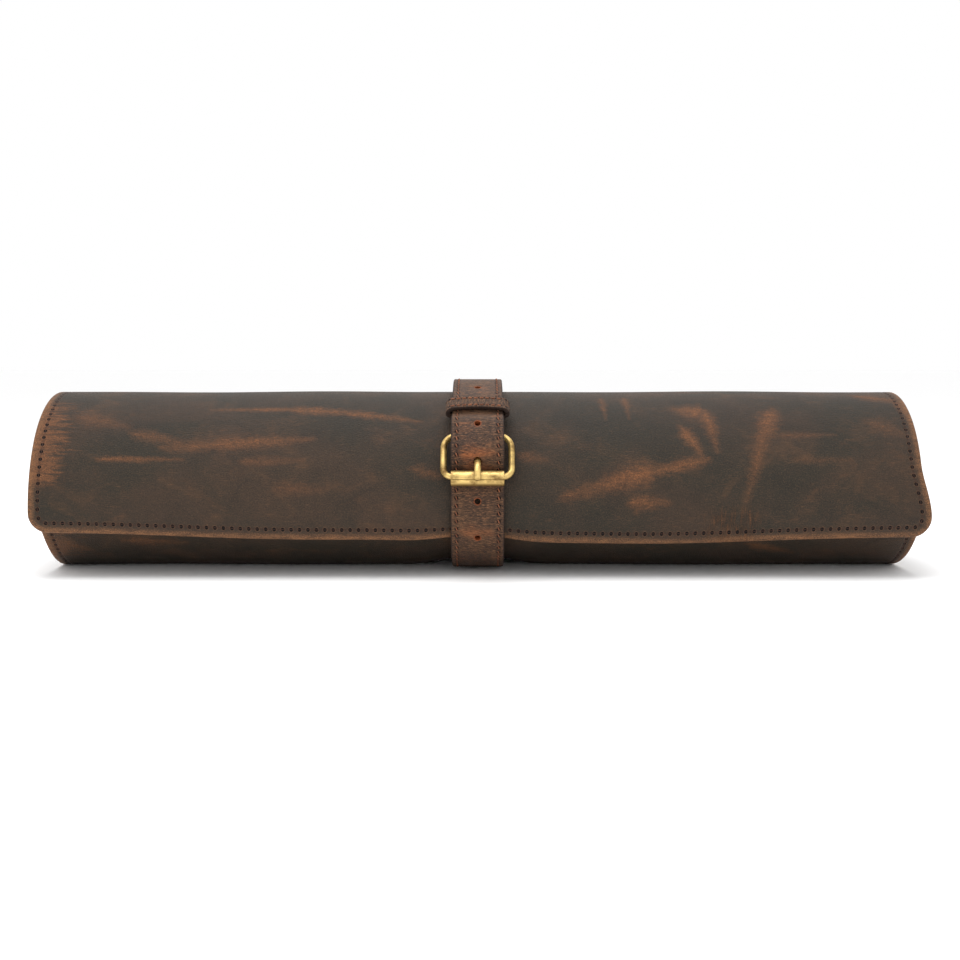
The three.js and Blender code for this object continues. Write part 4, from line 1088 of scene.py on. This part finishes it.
def make_tube(name, points, radius, sides, plane_normal, closed=False, flatten=1.0):
    """A round bar along points that lie in one plane, closed to a loop or with flat caps at both ends."""
    radius = np.broadcast_to(radius, len(points))[:, None, None]
    along = np.roll(points, -1, 0) - np.roll(points, 1, 0) if closed else np.gradient(points, axis=0)
    across = np.cross(np.broadcast_to(plane_normal, points.shape), unit(along))
    turn = (np.arange(sides) * 2 * math.pi / sides)[None, :, None]
    ring = np.cos(turn) * plane_normal + flatten * np.sin(turn) * across[:, None]
    index = np.arange(len(points) * sides).reshape(len(points), sides)
    ends = [] if closed else [index[0][::-1].tolist(), index[-1].tolist()]
    index = np.concatenate([index, index[:, :1]], 1)
    if closed:
        index = np.concatenate([index, index[:1]])
    return add_mesh(name, points[:, None] + radius * ring, grid_faces(index).tolist() + ends)


ring_line = rounded_loop(PULL_RING_WIDTH / 2 - PULL_WIRE, 0, RING_END - RING_AT, 1.6, 1.6, 6)
ring_line = np.column_stack([ring_line, np.zeros(len(ring_line))]) + [RING_AT, 0, RING_DEPTH]
plane_up = np.array(zip_plane[0].to_3x3() @ Vector((0, 0, 1)))
pull_ring = make_tube("zip_ring_wire", in_plane(zip_plane, ring_line), PULL_WIRE, 12, plane_up, closed=True)
pull_ring.data.materials.append(antique_brass)
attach(pull_ring, "root")
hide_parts("zip_pull_ring")

tab_half = PULL_WIRE + GAP + PULL_LEATHER
tab_low = RING_END - PULL_TAB_LENGTH
tab = make_flat_strip(
    "zip_pull_leather",
    zip_plane,
    PULL_TAB_WIDTH,
    tab_low,
    RING_END + tab_half,
    RING_DEPTH - tab_half,
    RING_DEPTH - tab_half + 2 * PULL_LEATHER,
    edge_round=0.5,
    slant=PULL_TAB_SLANT,
)
room = np.array([-1, 1]) * (PULL_WIRE + GAP)
cut_out(tab, make_block("ring_room", zip_plane, PULL_TAB_WIDTH + 1, RING_END + room, RING_DEPTH + room))
tab.data.materials.clear()
tab.data.materials.append(trim_leather)
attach(tab, "root")
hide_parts("zip_pull_tab")


# Tip strap: one length of 3.1 mm harness leather sewn to the roll's back. It passes under the roll, up the
# front, through the buckle and the keeper, and ends in a slanted tip. Both edges are burnished and carry a
# decorative seam; round holes for the prong are punched down the middle.
STRAP_WIDTH = 26.8
TIP_WIDTH = 25.6
TIP_STRAP = 3.1
BUCKLE_STRAP = 3.1
SKIVED = 1.8  # thickness where the buckle strap is folded round the bar
HOLE_SPACING = 18.8
HOLE_RADIUS = 1.5
HOLES_BELOW = 2
HOLES_ABOVE = 3
PRONG_PULL = 3.0  # the prong has drawn its hole away from the lower ones
PRONG_HOLE_RADIUS = 1.9
PRONG_HOLE_STRETCH = 0.9
PRONG_HOLE_SHIFT = 0.7
PRONG_HOLE_ANGLE = 21.5
KEEPER_ANGLE = 51.0
KEEPER_BASE = 1.3
KEEPER_CLEARANCE = 0.6
BAR_ANGLE = 35.2
ROLLER_ANGLE = 13.3
WIRE = 1.6
PRONG_ROOT = 1.15
PRONG = 1.65
PRONG_FLAT = 0.84  # the wire is hammered a little flat
ROLLER_RADIUS = 3.8
STRAP_EDGE_ROUND = 0.9
STRAP_GROOVE = 0.18
STRAP_GROOVE_WIDTH = 0.5
STRAP_WAVE = 0.06
DIMPLE = 0.45  # the leather sinks in a little round each hole
DIMPLE_RADIUS = 3.4
STRAP_SEAM_INSET = 2.9
STRAP_SEAM_PITCH = 3.8
STRAP_STITCH_LENGTH = 2.3
STRAP_THREAD = 0.36
STRAP_STITCH_SLANT = 0.34
STRAP_THREAD_SUNK = 0.12
TIP_SEAM_STOP = 4.5  # the seams end before the point of the tip
FACES_FLOOR = -0.98  # the upward share of a face that lies on the floor
STRAP_STEP = 0.9  # between the points of a strap's line
TIP_ROOT = 172.0
BUCKLE_END = 196.0
SEATED = 214.0
TIP_END = 128.0
TIP_BEVEL = 22.0
BEVEL_SHARE = 0.94  # of the width that the slant takes
BAR_HEIGHT = WIRE + GAP + 2 * PRONG_ROOT + 2 * GAP
ROLLER_HEIGHT = GAP + TIP_STRAP + GAP + ROLLER_RADIUS
OVER_KEEPER = KEEPER_BASE + 2 * GAP + KEEPER_CLEARANCE / 2
UNDER_TIP = BAR_HEIGHT + WIRE + GAP + 2 * PRONG_ROOT + GAP
TIP_STRAP_HEIGHT = [
    (ROLLER_ANGLE + 1.2, GAP),
    (BAR_ANGLE - 9, UNDER_TIP),
    (BAR_ANGLE + 4, UNDER_TIP),
    (KEEPER_ANGLE - 4.5, OVER_KEEPER + SKIVED + GAP),
    (KEEPER_ANGLE + 5, OVER_KEEPER + SKIVED + GAP),
    (KEEPER_ANGLE + 20, BUCKLE_STRAP + 2 * GAP),
]


def over_roll(degrees, height):
    """X, Y and Z over the leather's outer face at angles round the roll, in the strap's own plane."""
    degrees = np.where(np.asarray(degrees, float) > 360, np.asarray(degrees, float) - 360, degrees)
    point, normal = path_at(ROUND, "degrees", degrees)
    y = point[..., 0] + normal[..., 0] * height
    z = point[..., 1] + normal[..., 1] * height
    lifted = z + STRAP_DENT * np.clip(1.0 - point[..., 1] / DENT_HEIGHT, 0.0, 1.0)
    return np.stack([0 * y, y, soft_max(lifted + height, STRAP_DENT) - height], -1)


def soften(values, passes):
    """Evens out a row of values or points, with its ends kept."""
    values = np.array(values, float)
    for _ in range(passes):
        values[1:-1] = 0.25 * values[:-2] + 0.5 * values[1:-1] + 0.25 * values[2:]
    return values


def even_steps(line):
    """The same line with points at even steps, the distance along it and that of its own points."""
    run = distances(line)
    places = np.linspace(0, run[-1], int(run[-1] / STRAP_STEP) + 1)
    return read_at(places, run, line), places, run


STRAP_OFFSETS = (0.0, 0.1, 0.3, 0.6, 0.95, 1.6, 2.3, 2.9, 3.5, 4.2)


def make_strap(name, line, run, thickness, low, high, dimples=(), outer=1):
    """A strap along a line in YZ, with burnished edges, a groove for each seam and a dimple at each hole."""
    along = unit(np.gradient(line, axis=0))
    out = np.stack([0 * along[:, 0], -along[:, 2], along[:, 1]], -1) * outer
    shares = spread(0.0, 1.0, 1.0 / 22, tuple(o / STRAP_WIDTH for o in STRAP_OFFSETS))[None]
    low, high, runs = low[:, None], high[:, None], run[:, None]
    x = low + (high - low) * shares
    to_side = np.minimum(x - low, high - x)
    round_off = fillet(np.minimum(to_side, np.minimum(runs, run[-1] - runs)), STRAP_EDGE_ROUND)
    groove = STRAP_GROOVE * np.exp(-(((to_side - STRAP_SEAM_INSET) / STRAP_GROOVE_WIDTH) ** 2))
    worn = STRAP_WAVE * np.sin(runs / 3.1 + 0.5) * np.cos(x / 9 + runs / 13)
    sunk = sum(DIMPLE * (1 - smooth(np.hypot(x, runs - place) / DIMPLE_RADIUS)) for place in dimples)
    half = thickness[:, None] / 2
    faces = []
    for height in (half - round_off - groove - sunk + worn, -half + round_off):
        grid = line[:, None, :] + out[:, None, :] * height[..., None]
        grid[..., 0] = x + STRAP_AT
        faces.append(grid)
    pairs = [np.stack(np.broadcast_arrays(values, runs), -1) for values in (x, to_side)]
    return make_skin(name, *faces, *pairs), out


def strap_stitches(name, line, run, out, thickness, low, high, until):
    """Both seams of a strap, on its outer face. None is sewn where the strap lies on the floor."""
    places = np.arange(STRAP_SEAM_PITCH * 1.5, until, STRAP_SEAM_PITCH)
    normal = read_at(places, run, out)
    kept = normal[:, 2] > FACES_FLOOR
    height = np.interp(places, run, thickness) / 2 - STRAP_THREAD_SUNK
    seams = []
    for border, inset in ((low, STRAP_SEAM_INSET), (high, -STRAP_SEAM_INSET)):
        centre = read_at(places, run, line) + normal * height[:, None]
        centre[:, 0] = np.interp(places, run, border) + inset + STRAP_AT
        seams.append((centre[kept], np.gradient(centre, axis=0)[kept], normal[kept]))
    return make_stitches(name, seams, STRAP_STITCH_LENGTH, STRAP_THREAD, STRAP_STITCH_SLANT)


tip_angles = np.concatenate([np.arange(TIP_ROOT, 360 + TIP_END, 0.75), [360 + TIP_END]])
rise_at_back = (BUCKLE_STRAP + 2 * GAP) + (GAP - BUCKLE_STRAP - 2 * GAP) * smooth(
    (tip_angles - BUCKLE_END - 2) / (SEATED - BUCKLE_END)
)
tip_heights = np.where(tip_angles > 270, read_table(TIP_STRAP_HEIGHT, tip_angles - 360), rise_at_back)
tip_raw = over_roll(tip_angles, soften(tip_heights + TIP_STRAP / 2, 3))
tip_line, tip_run, raw_run = even_steps(soften(tip_raw, 2))
tip_total = tip_run[-1]
angle_at = np.interp(tip_run, raw_run, tip_angles)
tip_half = (STRAP_WIDTH + (TIP_WIDTH - STRAP_WIDTH) * smooth((angle_at - 360) / 90)) / 2
bevel = np.clip((tip_run - tip_total + TIP_BEVEL) / TIP_BEVEL, 0, 1) * BEVEL_SHARE
prong_run = float(np.interp(360 + PRONG_HOLE_ANGLE + 0.4, tip_angles, raw_run))
open_holes = [prong_run + k * HOLE_SPACING for k in range(1, HOLES_ABOVE + 1)]
open_holes = [prong_run - k * HOLE_SPACING - PRONG_PULL for k in range(HOLES_BELOW, 0, -1)] + open_holes
tip_thickness = np.full(len(tip_run), TIP_STRAP)
tip_low = -tip_half + 2 * tip_half * bevel
tip_shape = (tip_thickness, tip_low, tip_half)
tip_strap, tip_out = make_strap("strap_leather_tip", tip_line, tip_run, *tip_shape, dimples=open_holes)

strap_leather, made, surface = start_material("strap_leather", Specular_IOR_Level=0.24, IOR=1.45)
where, edge = made.map_mm("panel"), made.map_mm("edge")
crease = made.group(leather_grain, "Crease", Where=made.scaled(where, 0.7, 1.7), Pebble=1.2)
cloud = made.noise(made.scaled(where, 1.0, 0.7), 0.06, 4.0, 0.6)
cross = made.noise(made.scaled(where, 0.2, 1.0), 0.8, 6.0, 0.74, 0.3)
fine = made.noise(where, 0.7, 4.0, 0.7)
lines = made.noise(made.scaled(where, 0.3, 1.3), 1.5, 4.0, 0.75, 0.4)
rubbed = made.group(pull_up, "Mask", Where=where, Size=16.0, Stretch=1.6, Amount=0.44, Softness=0.14)
STRAP_SCUFFS = [
    ((-8, prong_run + 2.6), (8, prong_run + 3.4), 3.0, 0.75),
    ((-6, prong_run - 3), (7, prong_run - 4), 3.2, 0.4),
    ((-8, prong_run - 37), (8, prong_run - 38), 3.0, 0.35),
]
scuffs = made.times(lay_strokes(made, STRAP_SCUFFS, where, cross), made.step(lines, 0.30, 0.56))
colour = made.layers(
    made.mix(made.step(cloud, 0.36, 0.66), paint(57, 41, 32), paint(78, 56, 40)),
    (made.step(cross, 0.52, 0.72), 0.6, (126, 86, 58)),
    (made.step(cross, 0.47, 0.32), 0.65, (38, 27, 22)),
    (made.step(lines, 0.52, 0.63), 0.6, (140, 98, 68)),
    (made.step(lines, 0.48, 0.36), 0.85, (20, 14, 12)),
    (made.times(rubbed, made.step(cross, 0.36, 0.62)), 0.5, (138, 86, 54)),
    (scuffs, 1.0, (164, 96, 54)),
)
for run in open_holes:
    round_hole = made.vector("DISTANCE", where, (0, run, 0), output=1)
    halo = made.step(made.plus(round_hole, made.times(fine, 1.6)), 3.1, 2.1)
    colour = made.layers(colour, (halo, 0.7, (150, 76, 38)))
border = made.step(made.plus(made.split(edge)[0], made.times(fine, 0.8)), 1.4, 0.5)
strap_seam = {"Edge": edge, "Inset": STRAP_SEAM_INSET, "Pitch": STRAP_SEAM_PITCH}
holes = made.group(seam_holes, "Hole", **strap_seam, Radius=0.95)
# Painted shade: the stitch holes are painted near black; the dark border is the burnished edge.
colour = made.layers(colour, (border, 0.85, (36, 27, 24)), (holes, 1.0, (14, 8, 6)))
relief = made.plus(made.times(cross, 1.3), made.times(lines, 0.7))
relief = made.minus(relief, made.plus(made.times(crease, 0.25), made.times(holes, 2.0)))
made.dress(surface, colour, (0.52, 0.16, cloud), relief, 0.0003)

punched_edge, made, surface = start_material("punched_edge", Roughness=0.8, Specular_IOR_Level=0.2)
where = made.place_mm()
fibre = made.noise(where, 1.4, 3.0, 0.7)
made.link(made.mix(fibre, paint(84, 40, 22), paint(160, 88, 48)), surface["Base Color"])
made.link(made.bump(fibre, 0.0002), surface["Normal"])

tip_strap.data.materials.append(strap_leather)


def make_punches(name, line, run, out, places, radius, lengthen=0.0):
    """Round punches across the strap, as one mesh, to cut its holes with."""
    sides = 24
    turn = (np.arange(sides) * 2 * math.pi / sides)[:, None]
    points, faces = [], []
    for place in places:
        centre = read_at(place, run, line) + [STRAP_AT, 0, 0]
        normal = read_at(place, run, out)
        along = np.cross(normal, [1.0, 0.0, 0.0])
        ring = radius * np.cos(turn) * np.array([1.0, 0, 0]) + (radius + lengthen) * np.sin(turn) * along
        start = len(points) * sides
        points += [centre + ring - 4 * normal, centre + ring + 4 * normal]
        for k in range(sides):
            after = (k + 1) % sides
            faces.append((start + k, start + after, start + sides + after, start + sides + k))
        faces.append(tuple(range(start, start + sides))[::-1])
        faces.append(tuple(range(start + sides, start + 2 * sides)))
    piece = add_mesh(name, np.concatenate(points), faces, smooth_faces=False)
    piece.data.materials.append(punched_edge)
    return piece


tip_way = (tip_line, tip_run, tip_out)
cut_out(tip_strap, make_punches("punches", *tip_way, open_holes, HOLE_RADIUS))
prong_hole = (PRONG_HOLE_RADIUS, PRONG_HOLE_STRETCH)
cut_out(tip_strap, make_punches("prong_punch", *tip_way, [prong_run - PRONG_HOLE_SHIFT], *prong_hole))
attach(tip_strap, "root")
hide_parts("tip_strap")

copper_thread = make_thread_material("copper_thread", paint(104, 62, 42), paint(176, 114, 80))
tip_thread = strap_stitches("tip_strap_thread", *tip_way, *tip_shape, tip_total - TIP_SEAM_STOP)
tip_thread.data.materials.append(copper_thread)
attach(tip_thread, "root")


# Buckle strap: the same harness leather from the back over the top. Its end is skived to 1.8 mm, narrowed,
# folded round the buckle's bar and sewn back under itself.
FOLD_WIDTH = 19.0
BUCKLE_STRAP_WIDTH = STRAP_WIDTH - 1.0
NARROWING = 9.0
PRONG_SLOT = 3.0
bar = over_roll(BAR_ANGLE, BAR_HEIGHT)
roller_centre = over_roll(ROLLER_ANGLE, ROLLER_HEIGHT)
out_of_bar = unit(over_roll(BAR_ANGLE, BAR_HEIGHT + 1) - bar)
BUCKLE_STRAP_THICKNESS = [(KEEPER_ANGLE + 5, SKIVED), (KEEPER_ANGLE + 20, BUCKLE_STRAP)]
BUCKLE_STRAP_HEIGHT = [
    (BAR_ANGLE + 3, BAR_HEIGHT + WIRE + GAP),
    (KEEPER_ANGLE - 5, OVER_KEEPER),
    (KEEPER_ANGLE + 5, OVER_KEEPER),
    (KEEPER_ANGLE + 20, GAP),
]


def round_bar(radius, turns):
    """Points on a circle round the buckle's bar, from over it towards the roller and under it."""
    turns = np.radians(turns)[:, None]
    sideways = np.cross([1.0, 0.0, 0.0], out_of_bar)
    return bar + radius * (np.cos(turns) * out_of_bar + np.sin(turns) * sideways)


upper_angles = np.arange(BUCKLE_END, BAR_ANGLE + 3, -0.75)
upper_thickness = read_table(BUCKLE_STRAP_THICKNESS, upper_angles)
upper = over_roll(upper_angles, read_table(BUCKLE_STRAP_HEIGHT, upper_angles) + upper_thickness / 2)
fold = round_bar(WIRE + GAP + SKIVED / 2, np.arange(0, 181, 10))
return_angles = np.arange(BAR_ANGLE + 3, BAR_ANGLE + 9.6, 0.75)
drop = smooth((return_angles - BAR_ANGLE) / 9)
fold_foot = BAR_HEIGHT - WIRE - GAP - SKIVED
returned = over_roll(return_angles, fold_foot + (GAP - fold_foot) * drop + SKIVED / 2)
raw_line = np.concatenate([upper, fold, returned])
thickness_here = np.concatenate([upper_thickness, np.full(len(fold) + len(returned), SKIVED)])
buckle_line, buckle_run, raw_run = even_steps(soften(raw_line, 1))
buckle_thickness = np.interp(buckle_run, raw_run, thickness_here)
narrow_from = float(np.interp(-KEEPER_ANGLE - 9, -upper_angles, raw_run[: len(upper)])) - NARROWING
narrowed = smooth((buckle_run - narrow_from) / NARROWING)
half_width = (BUCKLE_STRAP_WIDTH + (FOLD_WIDTH - BUCKLE_STRAP_WIDTH) * narrowed) / 2
buckle_shape = (buckle_thickness, -half_width, half_width)
buckle_strap, buckle_out = make_strap(
    "strap_leather_buckle", buckle_line, buckle_run, *buckle_shape, outer=-1
)
buckle_way = (buckle_line, buckle_run, buckle_out)
buckle_strap.data.materials.append(strap_leather)
slot_run = float(raw_run[len(upper) + 9])
cut_out(buckle_strap, make_punches("prong_slot", *buckle_way, [slot_run], PRONG_ROOT + GAP, PRONG_SLOT))
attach(buckle_strap, "root")
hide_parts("buckle_strap")
buckle_thread = strap_stitches("buckle_strap_thread", *buckle_way, *buckle_shape, narrow_from - 4)
buckle_thread.data.materials.append(copper_thread)
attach(buckle_thread, "root")


# Keeper: a band of the same leather bent to a loop round both straps, with its ends butted underneath and
# two seams along its edges.
KEEPER_WIDTH = 8.5
KEEPER_TOP = 2.2
KEEPER_EDGE_ROUND = 0.55
KEEPER_CORNER = 3.6
KEEPER_SEAM_PITCH = 2.9
KEEPER_SEAM_INSET = 1.6
KEEPER_THREAD = 0.42
KEEPER_BOW = 1.1
KEEPER_DROOP = 0.3
KEEPER_TUCK = 0.3  # how far it is drawn in under the straps
KEEPER_TUCK_HEIGHT = 5.6
KEEPER_GROOVE = 0.15


def rounded_profile(half, bottom, top, radius, step=0.8):
    """X and height round a rounded rectangle, from the middle of its base, as a closed line."""
    line = [(0.0, bottom)]
    for x, y, start in (
        (half - radius, bottom + radius, -90),
        (half - radius, top - radius, 0),
        (radius - half, top - radius, 90),
        (radius - half, bottom + radius, 180),
    ):
        for k in range(11):
            turn = math.radians(start + 9 * k)
            line.append((x + radius * math.cos(turn), y + radius * math.sin(turn)))
    line = np.array(line + [(0.0, bottom)])
    run = distances(line)
    places = np.linspace(0, run[-1], int(run[-1] / step) + 1)[:-1]
    return read_at(places, run, line), places


tip_seat = float(read_table(TIP_STRAP_HEIGHT, np.array(KEEPER_ANGLE)))
keeper_top = tip_seat + TIP_STRAP + GAP + KEEPER_CLEARANCE / 2
keeper_half = STRAP_WIDTH / 2 + KEEPER_CLEARANCE
keeper_outer, keeper_run = rounded_profile(
    keeper_half + KEEPER_TOP, GAP, keeper_top + KEEPER_TOP, KEEPER_CORNER
)
keeper_outer[:, 0] *= 1 - KEEPER_TUCK * smooth((KEEPER_TUCK_HEIGHT - keeper_outer[:, 1]) / 5.4)
along = unit(np.roll(keeper_outer, -1, 0) - np.roll(keeper_outer, 1, 0))
inward = np.stack([-along[:, 1], along[:, 0]], -1)
wall = np.where(keeper_outer[:, 1] > 1.5, KEEPER_TOP, KEEPER_BASE)
wall = np.convolve(np.concatenate([wall[-2:], wall, wall[:2]]), np.ones(5) / 5, "valid")
slices = spread(-KEEPER_WIDTH / 2, KEEPER_WIDTH / 2, 0.9, (0.0, 0.1, 0.3, 0.6, 1.0, 1.5, 2.0))[None]
keeper_edge = KEEPER_WIDTH / 2 - np.abs(slices)
point, normal = path_at(ROUND, "degrees", KEEPER_ANGLE)
keeper_basis = np.array([[1, 0, 0], [0, normal[0], normal[1]], [0, -normal[1], normal[0]]])
keeper_origin = np.array([STRAP_AT, point[0], point[1]])


def in_keeper(profile_x, height, across):
    return np.stack(np.broadcast_arrays(profile_x, height, across), -1) @ keeper_basis + keeper_origin


def keeper_bow(x, height):
    """How far the keeper's top is bowed down the strap, and pulled back at its corners."""
    bow = KEEPER_BOW * (1 - (x / keeper_half) ** 2) * (height > keeper_top)
    return bow - KEEPER_DROOP * (np.abs(x) / (keeper_half + KEEPER_TOP)) ** 8 * (height > 3)


bow = keeper_bow(keeper_outer[:, :1], keeper_outer[:, 1:])
edge_off = fillet(keeper_edge, KEEPER_EDGE_ROUND)
keeper_groove = KEEPER_GROOVE * np.exp(-(((keeper_edge - KEEPER_SEAM_INSET) / 0.4) ** 2))
keeper_faces = []
for depth in (edge_off + keeper_groove, wall[:, None] - edge_off):
    profile_x = keeper_outer[:, :1] + inward[:, :1] * depth
    height = keeper_outer[:, 1:] + inward[:, 1:] * depth
    keeper_faces.append(in_keeper(profile_x, height, slices - bow))
keeper_map = np.stack(np.broadcast_arrays(slices, keeper_run[:, None]), -1)
# The strap's leather draws its holes at the strap's inset and pitch, so the keeper's map is scaled to them.
seam_scale = (STRAP_SEAM_INSET / KEEPER_SEAM_INSET, STRAP_SEAM_PITCH / KEEPER_SEAM_PITCH)
keeper_seam_map = np.stack(np.broadcast_arrays(keeper_edge, keeper_run[:, None]), -1) * seam_scale
keeper = make_skin("keeper_leather", *keeper_faces, keeper_map, keeper_seam_map, closed=True)
keeper.data.materials.append(strap_leather)
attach(keeper, "root")
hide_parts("keeper")

stitch_xs = np.arange(-keeper_half + 1.5, keeper_half - 1.0, KEEPER_SEAM_PITCH)
stitch_height = keeper_top + KEEPER_TOP - 0.1
stitch_bow = keeper_bow(stitch_xs, stitch_height)
keeper_seams = []
for edge_side in (-1, 1):
    across = edge_side * (KEEPER_WIDTH / 2 - KEEPER_SEAM_INSET) - stitch_bow
    here = in_keeper(stitch_xs, stitch_height, across)
    over = in_keeper(stitch_xs, stitch_height + 1.0, across)
    keeper_seams.append((here, np.gradient(here, axis=0), over - here))
keeper_thread = make_stitches("keeper_thread", keeper_seams, STRAP_STITCH_LENGTH, KEEPER_THREAD)
keeper_thread.data.materials.append(copper_thread)
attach(keeper_thread, "root")


# Roller buckle: a brass frame bent from round wire, with a loose roller of rolled sheet on its lower bar and
# a wire prong on its upper bar. All of it has an antique finish with cloudy tarnish, and painted shade
# darkens the faces turned away from the front and the top.
BUCKLE_WIDTH = 37.0
BAR_CORNER = 7.0
ROLLER_CORNER = 4.5
ROLLER_WALL = 0.8
ROLLER_LENGTH = 26.4
ROLLER_SEAM = 185.5  # degrees from the back, over the top
ROLLER_EDGE_ROUND = 0.35
ROLLER_SEAM_ROUND = 0.15
ROLLER_STEP = 0.33  # between its points, round it
PRONG_LINE = [
    (BAR_ANGLE - 5, BAR_HEIGHT + WIRE + PRONG_ROOT, 1.0),
    (PRONG_HOLE_ANGLE + 4.5, 0.54, 0.0),
    (PRONG_HOLE_ANGLE + 2, 0.50, 0.0),
    (PRONG_HOLE_ANGLE, 0.58, 0.0),
    (PRONG_HOLE_ANGLE - 2.2, 0.77, 0.0),
    (ROLLER_ANGLE + 3.7, 0.93, 0.0),
    (ROLLER_ANGLE + 0.7, 1.0, 0.0),
    (ROLLER_ANGLE - 1.6, 0.985, 0.0),
]
slack = ROLLER_RADIUS - ROLLER_WALL - WIRE - 2 * GAP
down = roller_centre - bar
frame_reach = np.linalg.norm(down) - slack
down = unit(down)
loop = rounded_loop(BUCKLE_WIDTH / 2 - WIRE, 0, -frame_reach, BAR_CORNER, ROLLER_CORNER, 10, straight=5)
frame_points = bar + loop[:, :1] * -down + loop[:, 1:] * np.array([1.0, 0, 0]) + [STRAP_AT, 0, 0]
frame_normal = np.cross([1.0, 0.0, 0.0], down)
buckle_frame = make_tube("buckle_frame_wire", frame_points, WIRE, 24, frame_normal, closed=True)

roller_turn = np.radians(np.linspace(0, 358, 73) + ROLLER_SEAM)
roller_xs = spread(-ROLLER_LENGTH / 2, ROLLER_LENGTH / 2, 3.0, (0.0, 0.08, 0.22, 0.4))[None]
roller_edge = fillet(ROLLER_LENGTH / 2 - np.abs(roller_xs), ROLLER_EDGE_ROUND)
from_seam = np.minimum(np.arange(len(roller_turn)), np.arange(len(roller_turn))[::-1])
seam_edge = fillet(from_seam * ROLLER_STEP, ROLLER_SEAM_ROUND)[:, None]
roller_faces = []
for radius in (ROLLER_RADIUS - roller_edge - seam_edge, ROLLER_RADIUS - ROLLER_WALL + roller_edge):
    y = roller_centre[1] + radius * np.cos(roller_turn)[:, None]
    z = roller_centre[2] + radius * np.sin(roller_turn)[:, None]
    roller_faces.append(np.stack(np.broadcast_arrays(roller_xs + STRAP_AT, y, z), -1))
roller_pairs = np.stack(np.broadcast_arrays(roller_xs, roller_turn[:, None] * ROLLER_RADIUS), -1)
buckle_roller = make_skin("buckle_roller_tube", *roller_faces, roller_pairs)


def smooth_curve(points, parts):
    """A curve through all the points, with a number of parts between each two."""
    padded = np.concatenate([2 * points[:1] - points[1:2], points, 2 * points[-1:] - points[-2:-1]])
    t = np.linspace(0, 1, parts, endpoint=False)[:, None]
    curve = []
    for a, b, c, d in zip(padded, padded[1:], padded[2:], padded[3:]):
        bend = (2 * a - 5 * b + 4 * c - d) * t**2 + (3 * b - a - 3 * c + d) * t**3
        curve.append(0.5 * (2 * b + (c - a) * t + bend))
    return np.concatenate([*curve, points[-1:]])


on_roller = ROLLER_HEIGHT + ROLLER_RADIUS + GAP + PRONG * PRONG_FLAT
prong_ring = round_bar(WIRE + GAP + PRONG_ROOT, np.arange(-262, 1, 13.0))
reach_points = [over_roll(angle, height * (1 if fixed else on_roller)) for angle, height, fixed in PRONG_LINE]
prong_reach = smooth_curve(np.array([prong_ring[-1], *reach_points]), 8)
prong_points = soften(np.concatenate([prong_ring[:-1], prong_reach]), 2) + [STRAP_AT, 0, 0]
prong_share = np.arange(len(prong_points)) / (len(prong_points) - 1)
root_share = len(prong_ring) / len(prong_points)
prong_radius = PRONG_ROOT + (PRONG - PRONG_ROOT) * smooth((prong_share - root_share) / 0.25)
prong_radius = prong_radius * np.sqrt(np.clip((1 - prong_share) / 0.02, 0.05, 1))
side_way = np.array([1.0, 0.0, 0.0])
buckle_prong = make_tube("buckle_prong_wire", prong_points, prong_radius, 20, side_way, flatten=PRONG_FLAT)
for piece, node in (
    (buckle_frame, "buckle_frame"),
    (buckle_roller, "buckle_roller"),
    (buckle_prong, "buckle_prong"),
):
    piece.data.materials.append(antique_brass)
    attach(piece, "root")
    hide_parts(node)


# Floor, soft studio light and camera. The roll lies on white, lit by a large softbox over it.
floor_mesh = bpy.data.meshes.new("floor")
floor_mesh.from_pydata([(-6, -3, 0), (6, -3, 0), (6, 12, 0), (-6, 12, 0)], [], [(0, 1, 2, 3)])
floor = bpy.data.objects.new("floor", floor_mesh)
bpy.context.scene.collection.objects.link(floor)
white_floor, made, surface = start_material("white_floor", Roughness=0.9, Specular_IOR_Level=0.1)
surface["Base Color"].default_value = paint(254, 254, 254)
floor.data.materials.append(white_floor)

world = bpy.data.worlds.new("studio")
bpy.context.scene.world = world
world.use_nodes = True
world.node_tree.nodes["Background"].inputs["Color"].default_value = (1, 1, 1, 1)
world.node_tree.nodes["Background"].inputs["Strength"].default_value = 1.0


def make_softbox(name, place, target, width, depth, power):
    light = bpy.data.lights.new(name, "AREA")
    light.shape = "RECTANGLE"
    light.size = width
    light.size_y = depth
    light.energy = power
    lamp = bpy.data.objects.new(name, light)
    lamp.location = place
    lamp.rotation_euler = (Vector(target) - Vector(place)).to_track_quat("-Z", "Y").to_euler()
    bpy.context.scene.collection.objects.link(lamp)
    return lamp


make_softbox("softbox_over", (-0.1, 0.05, 1.1), (0, 0, 0.05), 1.3, 0.8, 12.0)
make_softbox("softbox_front", (0.25, -1.4, 0.75), (0, 0, 0.05), 1.2, 0.8, 1.5)

CAMERA_PLACE = (0.0, -0.7444, 0.1101)
CAMERA_DOWN = 5.0
CAMERA_LENS = 52.24
camera_data = bpy.data.cameras.new("camera")
camera_data.lens = CAMERA_LENS
camera_data.sensor_width = 36.0
camera_data.clip_start = 0.01
camera = bpy.data.objects.new("camera", camera_data)
camera.location = CAMERA_PLACE
camera.rotation_euler = (math.radians(90 - CAMERA_DOWN), 0, 0)
bpy.context.scene.collection.objects.link(camera)
bpy.context.scene.camera = camera
bpy.context.scene.view_settings.view_transform = "Standard"
